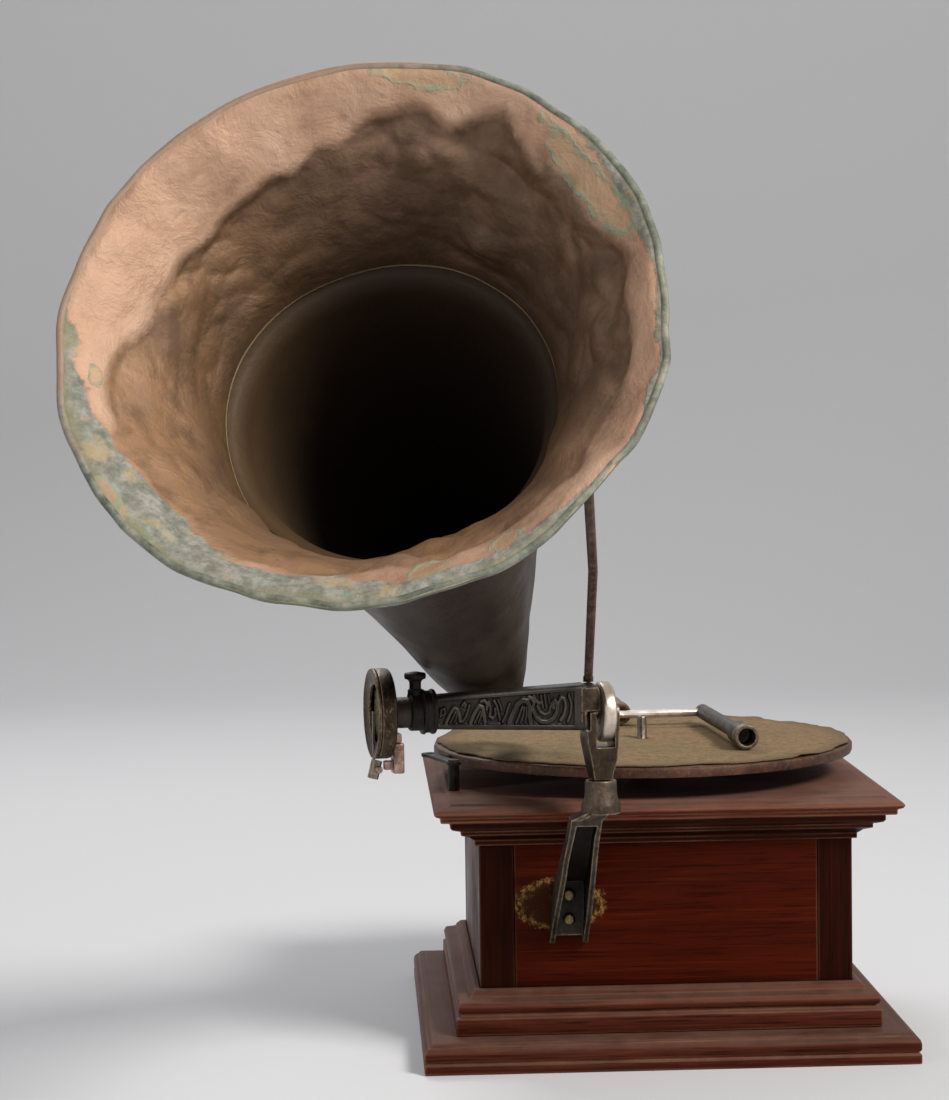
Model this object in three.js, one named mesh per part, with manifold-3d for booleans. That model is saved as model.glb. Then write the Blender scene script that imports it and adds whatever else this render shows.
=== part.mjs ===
// A table-top horn phonograph of about 1905: a square mahogany case with a spring motor inside,
// a felted turntable on top, and a bracket on the front of the case that carries a swinging yoke.
// The hollow tone arm and the brass horn turn and tilt together on that yoke, and a soundbox
// hangs from the arm's free end. The crank is drawn out and lies on the felt.
// Millimetres, +Z up, the front toward -Y. The origin is the middle of the case's underside.
import * as THREE from 'three';
import { mergeVertices } from 'three/addons/utils/BufferGeometryUtils.js';
import Module from 'manifold-3d';

const wasm = await Module();
wasm.setup();

// Driving dimensions

// Fits that all pieces share
const seatGap = 0.3; // between two pieces that touch
const runningGap = 0.5; // round a piece that turns or slides
const overrun = 2; // how far a cutter runs past what it cuts

// Case
const bodyWidth = 215.2;
const bodyDepth = 204.6;
const panelThickness = 9;
const postWidth = 20;
const bottomBoardHeight = 9;
const plinthHeight = 17.5;
const plinthReach = 33.2;
const baseMouldingHeight = 24.5;
const baseMouldingReach = 14.3;
const corniceHeight = 15.6;
const corniceReach = 16.4;
const topBoardReach = 26.3;
const topBoardThickness = 10.6;
const topBoardUnderside = 140.9;

// Motor frame
const motorX = 10;
const motorY = 3;
const windingLugX = 80;
const windingLugThickness = 5;
const windingLugWidth = 16;
const bedplateThickness = 3;
const bedplateWidth = 176;
const bedplateDepth = 150;
const lowerPlateThickness = 3;
const lowerPlateLevel = 57;
const lowerPlateWidth = 150;
const lowerPlateDepth = 128;
const pillarRadius = 4.5;
const governorPostThickness = 4;
const governorPostWidth = 11;

// Turntable and spindle
const spindleX = -2.5;
const spindleY = 0.3;
const platterRadius = 127;
const platterTop = 170.8;
const platterRimDepth = 6;
const platterPlateThickness = 2.2;
const platterHubRadius = 11;
const platterHubDepth = 12;
const feltRadius = 125.5;
const feltThickness = 1;
const spindleTipRadius = 3;
const spindleTipLevel = 186;
const spindleRadius = 3.6;
const spindleSeatRadius = 6.2;

// Gear train: a toothed barrel drives the intermediate wheel, and that drives the spindle
const gearModule = 1.4;
const barrelTeeth = 50;
const wheelTeeth = 40;
const pinionTeeth = 10;
const barrelX = 50;
const barrelY = 10;
const barrelDrumRadius = 31;
const barrelDrumHeight = 30;
const barrelWall = 1.5;
const barrelGearThickness = 4;
const barrelGearTop = 100;
const wheelThickness = 3;
const lighteningHoles = 4;
const wheelBottom = 106;
const pinionReach = 2.2; // how far a pinion stands out past the wheel that it meets
const intermediateShaftRadius = 2.6;
const springThickness = 0.7;
const springCoils = 6;
const springStepsPerCoil = 12;
const springHeight = 23;

// Winding shaft and arbor
const clickWidth = 4.2;
const bevelModule = 1.5;
const bevelGearTeeth = 20;
const bevelPinionTeeth = 10;
const bevelFace = 5.5;
const bevelBack = 3;
const arborRadius = 4;
const windingLevel = 112;
const windingShaftRadius = 4.4;
const windingHoleRadius = 8.8;
const escutcheonRadius = 12.6;
const escutcheonThickness = 1.6;
const ratchetRadius = 10;
const ratchetTeeth = 12;
const ratchetThickness = 3;
const clickLength = 15;
const clickPivotRadius = 2;

// Governor
const wormWheelTeeth = 30;
const wormStarts = 3;
const wormModule = 1.2;
const wormRadius = 4.4;
const wormWheelThickness = 2.4;
const governorLevel = 86;
const wormLength = 13;
const wormSteps = 12;
const governorShaftRadius = 1.8;
const governorCollarRadius = 4.2;
const governorCollarLength = 5;
const governorDiscRadius = 11;
const governorDiscThickness = 1.6;
const governorSpan = 21; // between the fixed collar and the friction disc
const governorBow = 4.6;
const governorWeightHeight = 4.2;
const governorWeightLength = 8;
const governorWeightWidth = 6;
const governorSpringThickness = 0.8;
const governorWeights = 3;
const governorFrontReach = 56; // from the spindle's plane forward to the shaft's end
const governorRearReach = 20;

// Bracket on the case front
const pivotX = -42;
const pivotY = -158;
const socketTop = 169.3;
const socketTopRadius = 8.75;
const socketFootRadius = 10.8;
const socketFoot = 152;
const bracketFlange = 3.2;
const bracketWeb = 3.6;
const bracketFootLevel = 69;
const bracketFootReach = 26.3; // left from the socket's axis
const channelTop = 148;
const lowScrewRise = 13; // over the foot's end
const screwSpacing = 14;
const screwOffset = 14.5; // left from the socket's axis
const screwRadius = 3.6;
const screwHeadHeight = 2;
const screwShankRadius = 1.9;
const screwShankLength = 7;

// Yoke, its pin and the disc between its prongs, measured from the pin's centre
const pinLevel = 207;
const armTurn = THREE.MathUtils.degToRad(190);
const yokeStemRadius = 4.5;
const yokeStemLength = 14;
const yokeHeight = 37;
const yokeShoulder = 9.6;
const yokeHalfDepth = 8.5;
const yokeHeadRadius = 5.5;
const slotStart = -6.1;
const slotEnd = 4.2;
const slotDepth = 19;
const ledgeReach = 8.6;
const ledgeTop = 0.6;
const pinRadius = 2.2;
const pinHeadRadius = 3.4;
const pinHeadHeight = 0.9;
const discRadius = 16.6;
const discStartX = -5.8;
const discEndX = 1.6;

// Tone arm, measured from the pin's centre along the arm
const scrollSteps = 6;
const scrollTurn = 4.4;
const scrollLine = 1.5;
const knurls = 18;
const armStart = 9.9;
const armEnd = 93.5;
const armTopAtStart = 16.2;
const armTopAtEnd = 12.7;
const armBottomAtStart = -9.3;
const armBottomAtEnd = -5.6;
const armThicknessAtStart = 16;
const armThicknessAtEnd = 14;
const armCorner = 2.4;
const boreLevel = 3.8;
const boreRadius = 5.2;
const carvingDepth = 0.8;
const carvingMargin = 4.2;
const carvingStart = 22;
const collarRadius = 12.3;
const collarLength = 7.5;
const clampRadius = 10.2;
const clampLength = 6.5;
const screwBossRadius = 4.2;
const screwBossTop = 16.4;
const thumbStemRadius = 3.2;
const thumbStemTop = 21.8;
const thumbHeadRadius = 5.9;
const thumbHeadHeight = 4.1;
const bridgeRadius = 16.3;
const bridgeStart = 1.9;
const portX = 20;
const portLevel = 1.4;
const portRadius = 6.2;

// Soundbox, on the arm's bore axis
const couplingRadius = 8.45;
const couplingStart = 95;
const soundboxBack = 117.3;
const soundboxRadius = 24.5;
const soundboxBackRadius = 22;
const soundboxThickness = 11.1;
const soundboxWall = 1.6;
const ringOpeningRadius = 16;
const ringThickness = 1.4;
const diaphragmDepth = 5.2; // behind the front rim
const diaphragmThickness = 0.6;
const gasketWidth = 2.6;
const lugWidth = 9;
const lugHeight = 5;
const blockLength = 6;
const blockWidth = 9;
const blockTop = -12.5;
const blockBottom = -29;
const chuckRadius = 3;
const chuckBore = 1.2;
const chuckLength = 10;
const chuckLean = THREE.MathUtils.degToRad(14);
const leverWidth = 2.2;
const leverThickness = 1.1;
const needleKnobRadius = 2.1;
const needleKnobLength = 4.2;
const needleStemRadius = 0.9;

// Horn, measured along its axis back from the mouth
const hornRadius = 139;
const seamDepth = 86;
const seamRadius = 78.5;
const hornWall = 0.8;
const rimBeadRadius = 1.9;
const seamLap = 8;
const neckMiddleDepth = 206;
const neckMiddleRadius = 56;
const tailDepth = 458;
const tailRadius = 15.8;
const flareShare = 0.72;
const tailX = -95.2;
const tailY = -60;
const tailLevel = 203;
const hornAzimuth = THREE.MathUtils.degToRad(10.94);
const hornElevation = THREE.MathUtils.degToRad(27.59);

// Elbow from the arm's back to the horn's tail
const elbowRadius = 8.4;
const elbowBoreRadius = 6.2;
const elbowCollarRadius = 16.6;
const spigotLength = 14;
const elbowWall = 1.8;
const elbowFlangeRadius = 9.4;
const elbowFlangeThickness = 2.4;
const elbowFloor = 189.5; // its underside is flat above the turntable
const elbowReturnX = -62;
const elbowReturnY = -38;
const elbowReturnLevel = 198.5;

// Rod that holds the horn up
const rodRadius = 2.4;
const rodFootRadius = 2.9;
const rodFootHeight = 3;
const rodLugRadius = 4.6;
const rodLugLength = 14;
const rodLugDepth = 31;
const rodLugAngle = THREE.MathUtils.degToRad(202);
const rodBow = 3;
const rodFootX = 6.5;

// Crank, drawn out of the case and laid on the felt
const crankX = 43;
const crankY = 59;
const crankTurn = THREE.MathUtils.degToRad(-86.1);
const crankShaftRadius = 4.65;
const crankSocketRadius = 7.4;
const crankSocketBore = 5.2;
const crankShaftLength = 130;
const crankRodRadius = 2.5;
const crankArmLength = 53;
const gripLength = 55;
const gripRadius = 7.7;
const gripBore = 3;
const ferruleLength = 9;

// Brake beside the turntable
const brakeTurn = THREE.MathUtils.degToRad(108.4);
const brakeReach = 41;
const brakeX = -120;
const brakeY = -66;
const brakeThickness = 1.8;
const brakePostHeight = 14;
const brakePostRadius = 3.4;
const brakeWidth = 7;
const brakeEyeRadius = 5;
const brakePadThickness = 4;
const brakePadLength = 12;

// Roundness of what is turned, in sides
const sides = { horn: 32, platter: 40, soundbox: 24, turned: 16, shaft: 10, small: 6, drum: 24 };

// Geometry helpers

const V3 = (x, y, z) => new THREE.Vector3(x, y, z);

function positionsOnly(geometry) {
  const bare = geometry.clone();
  for (const name of Object.keys(bare.attributes)) {
    if (name !== 'position') bare.deleteAttribute(name);
  }
  return mergeVertices(bare, 1e-4);
}

function signedVolume(geometry) {
  const p = geometry.attributes.position;
  const index = geometry.index.array;
  const [a, b, c] = [V3(0, 0, 0), V3(0, 0, 0), V3(0, 0, 0)];
  let total = 0;
  for (let i = 0; i < index.length; i += 3) {
    a.fromBufferAttribute(p, index[i]);
    b.fromBufferAttribute(p, index[i + 1]);
    c.fromBufferAttribute(p, index[i + 2]);
    total += a.dot(b.cross(c));
  }
  return total;
}

// Merges the shared vertices and turns all faces outward
function closed(geometry) {
  const merged = positionsOnly(geometry);
  if (signedVolume(merged) < 0) {
    const index = merged.index.array;
    for (let i = 0; i < index.length; i += 3) {
      [index[i + 1], index[i + 2]] = [index[i + 2], index[i + 1]];
    }
  }
  return merged;
}

function toSolid(geometry) {
  const merged = closed(geometry);
  return new wasm.Manifold(new wasm.Mesh({
    numProp: 3,
    vertProperties: new Float32Array(merged.attributes.position.array),
    triVerts: new Uint32Array(merged.index.array),
  }));
}

function toGeometry(solid) {
  const mesh = solid.getMesh();
  const geometry = new THREE.BufferGeometry();
  geometry.setAttribute('position', new THREE.BufferAttribute(new Float32Array(mesh.vertProperties), 3));
  geometry.setIndex(new THREE.BufferAttribute(new Uint32Array(mesh.triVerts), 1));
  return geometry;
}

// First geometry joined with the added ones, less the cut ones
function carve(base, added, cut = []) {
  let solid = toSolid(base);
  for (const geometry of added) solid = solid.add(toSolid(geometry));
  for (const geometry of cut) solid = solid.subtract(toSolid(geometry));
  return toGeometry(solid);
}

function common(first, second) {
  return toGeometry(toSolid(first).intersect(toSolid(second)));
}

// Skins rings of equal point count. A ringed loft joins its last ring to its first.
function loft(rings, ringed = false) {
  const n = rings[0].length;
  const points = rings.flat();
  const index = [];
  const spans = ringed ? rings.length : rings.length - 1;
  for (let r = 0; r < spans; r += 1) {
    const low = r * n;
    const high = ((r + 1) % rings.length) * n;
    for (let i = 0; i < n; i += 1) {
      const j = (i + 1) % n;
      index.push(low + i, low + j, high + j, low + i, high + j, high + i);
    }
  }
  if (!ringed) {
    for (const [start, flip] of [[0, true], [(rings.length - 1) * n, false]]) {
      const middle = V3(0, 0, 0);
      for (let i = 0; i < n; i += 1) middle.add(points[start + i]);
      middle.divideScalar(n);
      const centre = points.push(middle) - 1;
      for (let i = 0; i < n; i += 1) {
        const j = (i + 1) % n;
        index.push(centre, start + (flip ? j : i), start + (flip ? i : j));
      }
    }
  }
  const geometry = new THREE.BufferGeometry();
  geometry.setAttribute('position', new THREE.Float32BufferAttribute(points.flatMap((p) => [p.x, p.y, p.z]), 3));
  geometry.setIndex(index);
  return closed(geometry);
}

// A profile of [radius, height] turned round Z
function lathe(profile, count) {
  const points = profile.map(([r, z]) => new THREE.Vector2(r, z));
  return closed(new THREE.LatheGeometry(points, count).rotateX(Math.PI / 2));
}

// A closed ring of [radius, height] points turned round Z
function ringLathe(profile, count) {
  return lathe([...profile, profile[0]], count);
}

function rod(radius, from, to, count = sides.shaft) {
  return lathe([[0, from], [radius, from], [radius, to], [0, to]], count);
}

function box(width, depth, height) {
  return closed(new THREE.BoxGeometry(width, depth, height));
}

// A box from its two opposite corners
function block(x0, y0, z0, x1, y1, z1) {
  return box(x1 - x0, y1 - y0, z1 - z0).translate((x0 + x1) / 2, (y0 + y1) / 2, (z0 + z1) / 2);
}

function shape(points) {
  return new THREE.Shape(points.map(([x, y]) => new THREE.Vector2(x, y)));
}

// An outline raised along Z from zero to the height
function extrude(points, height, curveSegments = 1) {
  return closed(new THREE.ExtrudeGeometry(shape(points), { depth: height, bevelEnabled: false, curveSegments }));
}

function circle(radius, count, start = 0) {
  return Array.from({ length: count }, (_, i) => {
    const a = start + (i / count) * Math.PI * 2;
    return [radius * Math.cos(a), radius * Math.sin(a)];
  });
}

function arc(cx, cy, radius, from, to, steps) {
  return Array.from({ length: steps + 1 }, (_, i) => {
    const a = from + ((to - from) * i) / steps;
    return [cx + radius * Math.cos(a), cy + radius * Math.sin(a)];
  });
}

const mix = (a, b, t) => a + (b - a) * t;

// Scene helpers

const part = new THREE.Group();

function finish(color, roughness, metalness) {
  return new THREE.MeshStandardMaterial({ color, roughness, metalness });
}

function piece(name, geometry, material, parent = part) {
  const mesh = new THREE.Mesh(geometry, material.clone());
  mesh.name = name;
  parent.add(mesh);
  return mesh;
}

function groupAt(x, y, z, parent = part) {
  const group = new THREE.Group();
  group.position.set(x, y, z);
  parent.add(group);
  return group;
}

const mahogany = finish(0x4a1a10, 0.42, 0);
const darkMahogany = finish(0x34120b, 0.38, 0);
const wornNickel = finish(0xa89f90, 0.42, 0.85);
const brightNickel = finish(0xc4bdb0, 0.25, 0.95);
const blackJapan = finish(0x17130f, 0.35, 0.2);
const agedBrass = finish(0x8a6a3c, 0.4, 0.9);
const hornOutside = finish(0x5b4a36, 0.5, 0.8);
const hornInside = finish(0x9a6a52, 0.45, 0.85);
const paintedIron = finish(0x4d4a45, 0.6, 0.5);
const gearBrass = finish(0xb08d4a, 0.35, 1);
const steel = finish(0x6f7175, 0.45, 0.9);
const feltCloth = finish(0x7b7350, 0.95, 0);
const brownWood = finish(0x5a3520, 0.6, 0);
const mica = finish(0xb9a98a, 0.3, 0);
const blackRubber = finish(0x1d1b19, 0.8, 0);

// Case

const bodyX = bodyWidth / 2;
const bodyY = bodyDepth / 2;

// A mitred moulding round the body. Its profile runs from the inner bottom edge outward
// and up, as [share of the reach, share of the height], and its back lies against the body.
function moulding(bottom, height, reach, profileShares) {
  const rings = profileShares.map(([outShare, upShare]) => {
    const x = bodyX + seatGap + reach * outShare;
    const y = bodyY + seatGap + reach * outShare;
    const z = bottom + height * upShare;
    return [V3(-x, -y, z), V3(x, -y, z), V3(x, y, z), V3(-x, y, z)];
  });
  return loft(rings, true);
}

const plinthShares = [
  [0, 0], [0.97, 0], [1, 0.03], [1, 0.31], [0.955, 0.33], [0.955, 0.4], [0.985, 0.42], [1, 0.5],
  [1, 0.66], [0.98, 0.78], [0.93, 0.87], [0.9, 0.88], [0.9, 0.93], [0.86, 0.99], [0.83, 1], [0, 1],
];
const baseMouldingShares = [
  [0, 0], [1, 0], [1, 0.4], [0.8, 0.44], [0.78, 0.5], [0.92, 0.55], [0.96, 0.65], [0.86, 0.76],
  [0.6, 0.8], [0.42, 0.84], [0.4, 0.9], [0.2, 1], [0, 1],
];
const corniceShares = [
  [0, 0], [0.14, 0], [0.14, 0.2], [0.2, 0.24], [0.34, 0.36], [0.56, 0.44], [0.62, 0.46],
  [0.62, 0.62], [0.72, 0.64], [0.94, 0.72], [1, 0.8], [1, 1], [0, 1],
];
const topEdgeShares = [
  [0, 1], [0.62, 1], [0.68, 0.86], [0.8, 0.84], [0.94, 0.72], [1, 0.56], [0.96, 0.42],
  [0.85, 0.3], [0.85, 0.04], [0.8, 0], [0, 0],
];

piece('plinth_moulding', moulding(0, plinthHeight, plinthReach, plinthShares), darkMahogany);
const baseMouldingBottom = plinthHeight + seatGap;
piece('base_moulding', moulding(baseMouldingBottom, baseMouldingHeight, baseMouldingReach, baseMouldingShares),
  mahogany);
const caseTop = topBoardUnderside - seatGap;
piece('cornice_moulding', moulding(caseTop - corniceHeight, corniceHeight, corniceReach, corniceShares),
  mahogany);
piece('bottom_board', block(-bodyX, -bodyY, 0, bodyX, bodyY, bottomBoardHeight), mahogany);

const panelBottom = bottomBoardHeight + seatGap;
const postX = bodyX - postWidth;
const postY = bodyY - postWidth;
for (const [i, [sx, sy]] of [[-1, -1], [1, -1], [1, 1], [-1, 1]].entries()) {
  const post = box(postWidth, postWidth, caseTop - panelBottom)
    .translate(sx * (postX + postWidth / 2), sy * (postY + postWidth / 2), (panelBottom + caseTop) / 2);
  piece(`corner_post_${i + 1}`, post, darkMahogany);
}

const insideX = bodyX - panelThickness;
const insideY = bodyY - panelThickness;
const panelEndX = postX - seatGap;
const panelEndY = postY - seatGap;

// Two screws hold the bracket's foot, so the front panel has their holes
const lowScrewLevel = bracketFootLevel + lowScrewRise;
const bracketScrewLevels = [lowScrewLevel, lowScrewLevel + screwSpacing];
const bracketScrewX = pivotX - screwOffset;
const towardFront = (geometry, x, y, z) => geometry.rotateX(Math.PI / 2).translate(x, y, z);
const frontHoles = bracketScrewLevels.map((z) => towardFront(
  rod(screwShankRadius + seatGap, -panelThickness - overrun, overrun, sides.small), bracketScrewX, -bodyY, z));
piece('front_panel', carve(block(-panelEndX, -bodyY, panelBottom, panelEndX, -insideY, caseTop), [], frontHoles),
  mahogany);
piece('back_panel', block(-panelEndX, insideY, panelBottom, panelEndX, bodyY, caseTop), mahogany);
piece('left_panel', block(-bodyX, -panelEndY, panelBottom, -insideX, panelEndY, caseTop), mahogany);
const alongX = (geometry, x, y, z) => geometry.rotateY(Math.PI / 2).translate(x, y, z);
piece('right_panel', carve(block(insideX, -panelEndY, panelBottom, bodyX, panelEndY, caseTop), [],
  [alongX(rod(windingHoleRadius, -panelThickness - overrun, overrun), bodyX, barrelY, windingLevel)]), mahogany);
const escutcheonEdge = escutcheonThickness / 4;
piece('winding_escutcheon', alongX(ringLathe([
  [windingHoleRadius, 0], [escutcheonRadius, 0], [escutcheonRadius, escutcheonThickness - escutcheonEdge],
  [escutcheonRadius - escutcheonEdge, escutcheonThickness], [windingHoleRadius, escutcheonThickness],
], sides.turned), bodyX + seatGap, barrelY, windingLevel), agedBrass);

const topBoard = loft(topEdgeShares.slice(1, -1).reverse().map(([outShare, upShare]) => {
  const x = bodyX + topBoardReach * outShare;
  const y = bodyY + topBoardReach * outShare;
  const z = topBoardUnderside + topBoardThickness * upShare;
  return [V3(-x, -y, z), V3(x, -y, z), V3(x, y, z), V3(-x, y, z)];
}));
const topSurface = topBoardUnderside + topBoardThickness;
const throughTop = (radius, x, y) => rod(radius, topBoardUnderside - overrun, topSurface + overrun)
  .translate(x, y, 0);
piece('top_board', carve(topBoard, [], [
  throughTop(spindleSeatRadius + runningGap, spindleX, spindleY),
  throughTop(screwShankRadius + seatGap, brakeX, brakeY),
]), mahogany);

// Motor frame

const bedplateTop = topBoardUnderside - seatGap;
const bedplateBottom = bedplateTop - bedplateThickness;
const lowerPlateTop = lowerPlateLevel + lowerPlateThickness;

const barrelReach = (gearModule * (barrelTeeth + pinionTeeth)) / 2;
const spindleReach = (gearModule * (wheelTeeth + pinionTeeth)) / 2;
const trainBase = Math.hypot(spindleX - barrelX, spindleY - barrelY);
const trainAlong = (barrelReach ** 2 - spindleReach ** 2 + trainBase ** 2) / (2 * trainBase);
const trainAside = Math.sqrt(barrelReach ** 2 - trainAlong ** 2);
const alongX1 = (spindleX - barrelX) / trainBase;
const alongY1 = (spindleY - barrelY) / trainBase;
const wheelX = barrelX + alongX1 * trainAlong + alongY1 * trainAside;
const wheelY = barrelY + alongY1 * trainAlong - alongX1 * trainAside;

const wormWheelRadius = (wormWheelTeeth * wormModule) / 2;
const governorX = spindleX - wormWheelRadius - wormRadius;

const bearing = (radius, x, y, bottom, top) => rod(radius + seatGap, bottom - overrun, top + overrun)
  .translate(x, y, 0);

const clickX = barrelX - clickLength;
const clickY = barrelY + ratchetRadius + seatGap + clickWidth / 2;
const windingLugBottom = windingLevel - windingLugWidth / 2;
piece('motor_bedplate', carve(
  block(motorX - bedplateWidth / 2, motorY - bedplateDepth / 2, bedplateBottom,
    motorX + bedplateWidth / 2, motorY + bedplateDepth / 2, bedplateTop),
  [block(windingLugX, barrelY - windingLugWidth / 2, windingLugBottom,
    windingLugX + windingLugThickness, barrelY + windingLugWidth / 2, bedplateBottom + bedplateThickness / 2)],
  [
    bearing(spindleRadius, spindleX, spindleY, bedplateBottom, bedplateTop),
    bearing(arborRadius, barrelX, barrelY, bedplateBottom, bedplateTop),
    bearing(intermediateShaftRadius, wheelX, wheelY, bedplateBottom, bedplateTop),
    bearing(clickPivotRadius, clickX, clickY, bedplateBottom, bedplateTop),
    alongX(rod(windingShaftRadius + seatGap, -overrun, windingLugThickness + overrun),
      windingLugX, barrelY, windingLevel),
  ],
), paintedIron);

const pillarInset = pillarRadius * 1.6;
const pillars = [[-1, -1], [1, -1], [1, 1], [-1, 1]].map(([sx, sy]) => rod(
  pillarRadius, lowerPlateTop - lowerPlateThickness / 2, bedplateBottom - seatGap).translate(
  motorX + sx * (lowerPlateWidth / 2 - pillarInset), motorY + sy * (lowerPlateDepth / 2 - pillarInset), 0));
const governorFront = spindleY - governorFrontReach;
const governorRear = spindleY + governorRearReach;
const governorPosts = [governorFront, governorRear].map((y) => block(
  governorX - governorPostWidth / 2, y - governorPostThickness / 2, lowerPlateLevel + lowerPlateThickness / 2,
  governorX + governorPostWidth / 2, y + governorPostThickness / 2, governorLevel + governorPostWidth / 2));
piece('motor_lower_plate', carve(
  block(motorX - lowerPlateWidth / 2, motorY - lowerPlateDepth / 2, lowerPlateLevel,
    motorX + lowerPlateWidth / 2, motorY + lowerPlateDepth / 2, lowerPlateTop),
  [...pillars, ...governorPosts],
  [
    bearing(spindleRadius, spindleX, spindleY, lowerPlateLevel, lowerPlateTop),
    bearing(arborRadius, barrelX, barrelY, lowerPlateLevel, lowerPlateTop),
    bearing(intermediateShaftRadius, wheelX, wheelY, lowerPlateLevel, lowerPlateTop),
    towardFront(rod(governorShaftRadius + seatGap, -governorPostThickness, governorFrontReach + governorRearReach
      + governorPostThickness), governorX, governorRear, governorLevel),
  ],
), paintedIron);

// Gears

const toothShares = { root: 0.27, tip: 0.1, addendum: 0.8, dedendum: 1.25 };

// Corners of each tooth as [angle, height over the pitch circle], one tooth at toothAngle
function toothCorners(teeth, module, toothAngle) {
  const pitch = (Math.PI * 2) / teeth;
  const up = module * toothShares.addendum;
  const down = -module * toothShares.dedendum;
  return Array.from({ length: teeth }, (_, i) => {
    const a = toothAngle + i * pitch;
    return [
      [a - pitch * toothShares.root, down], [a - pitch * toothShares.tip, up],
      [a + pitch * toothShares.tip, up], [a + pitch * toothShares.root, down],
    ];
  }).flat();
}

function gear(teeth, module, toothAngle, bottom, top, twist = 0) {
  const pitchRadius = (teeth * module) / 2;
  const rings = [[bottom, -twist / 2], [top, twist / 2]].map(([z, turn]) => toothCorners(teeth, module, toothAngle)
    .map(([a, h]) => V3((pitchRadius + h) * Math.cos(a + turn), (pitchRadius + h) * Math.sin(a + turn), z)));
  return loft(rings);
}

// A bevel gear round Z, its pitch circle at height zero and its cone's apex above that
function bevel(teeth, module, toothAngle, apex, face, back, bore) {
  const pitchRadius = (teeth * module) / 2;
  const cone = Math.hypot(pitchRadius, apex);
  const inner = (cone - face) / cone;
  const corners = toothCorners(teeth, module, toothAngle);
  const outerRing = corners.map(([a, h]) => {
    const r = pitchRadius + (h * apex) / cone;
    return V3(r * Math.cos(a), r * Math.sin(a), (h * pitchRadius) / cone);
  });
  const innerRing = outerRing.map((p) => V3(p.x * inner, p.y * inner, apex + (p.z - apex) * inner));
  const plain = (radius, z) => corners.map(([a]) => V3(radius * Math.cos(a), radius * Math.sin(a), z));
  const rootRadius = pitchRadius - (module * toothShares.dedendum * apex) / cone;
  const floor = Math.min(...innerRing.map((p) => p.z));
  return loft([plain(bore, -back), plain(rootRadius, -back), outerRing, innerRing, plain(bore, floor)], true);
}

const angleTo = (x0, y0, x1, y1) => Math.atan2(y1 - y0, x1 - x0);
const barrelToWheel = angleTo(barrelX, barrelY, wheelX, wheelY);
const wheelToSpindle = angleTo(wheelX, wheelY, spindleX, spindleY);
const halfPinionPitch = Math.PI / pinionTeeth;
const wheelTop = wheelBottom + wheelThickness;
const barrelGearBottom = barrelGearTop - barrelGearThickness;
const wheelHubRadius = intermediateShaftRadius * 1.7;

const intermediate = groupAt(wheelX, wheelY, 0);
const wheelPitchRadius = (wheelTeeth * gearModule) / 2;
const holeRadius = wheelPitchRadius * 0.24;
const holeCircle = wheelPitchRadius * 0.58;
piece('intermediate_wheel', carve(
  gear(wheelTeeth, gearModule, wheelToSpindle, wheelBottom, wheelTop),
  [
    gear(pinionTeeth, gearModule, barrelToWheel + Math.PI + halfPinionPitch,
      barrelGearBottom - pinionReach, barrelGearTop + pinionReach),
    rod(wheelHubRadius, barrelGearTop, wheelTop + pinionReach),
    rod(intermediateShaftRadius, lowerPlateLevel, bedplateTop),
  ],
  circle(holeCircle, lighteningHoles).map(([x, y]) => rod(holeRadius, wheelBottom - overrun, wheelTop + overrun, sides.small)
    .translate(x, y, 0)),
), gearBrass, intermediate);

// Spring barrel, arbor and ratchet

const barrel = groupAt(barrelX, barrelY, 0);
const drumBottom = barrelGearBottom - barrelDrumHeight;
const arborHubRadius = arborRadius * 1.6;
piece('spring_barrel', carve(
  gear(barrelTeeth, gearModule, barrelToWheel, barrelGearBottom, barrelGearTop),
  [rod(barrelDrumRadius, drumBottom, barrelGearTop - barrelGearThickness / 2, sides.drum)],
  [
    rod(barrelDrumRadius - barrelWall, drumBottom - overrun, barrelGearBottom, sides.drum),
    rod(arborRadius + seatGap, drumBottom, barrelGearTop + overrun),
  ],
), gearBrass, barrel);

const springInner = arborHubRadius + seatGap;
const springOuter = barrelDrumRadius - barrelWall - seatGap - springThickness;
const springSteps = springCoils * springStepsPerCoil;
const spiral = (extra) => Array.from({ length: springSteps + 1 }, (_, i) => {
  const a = (i / springStepsPerCoil) * Math.PI * 2;
  const r = mix(springInner, springOuter, i / springSteps) + extra;
  return [r * Math.cos(a), r * Math.sin(a)];
});
const springBottom = drumBottom + (barrelDrumHeight - springHeight) / 2;
piece('mainspring', extrude([...spiral(0), ...spiral(springThickness).reverse()], springHeight)
  .translate(0, 0, springBottom), steel, barrel);

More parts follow.
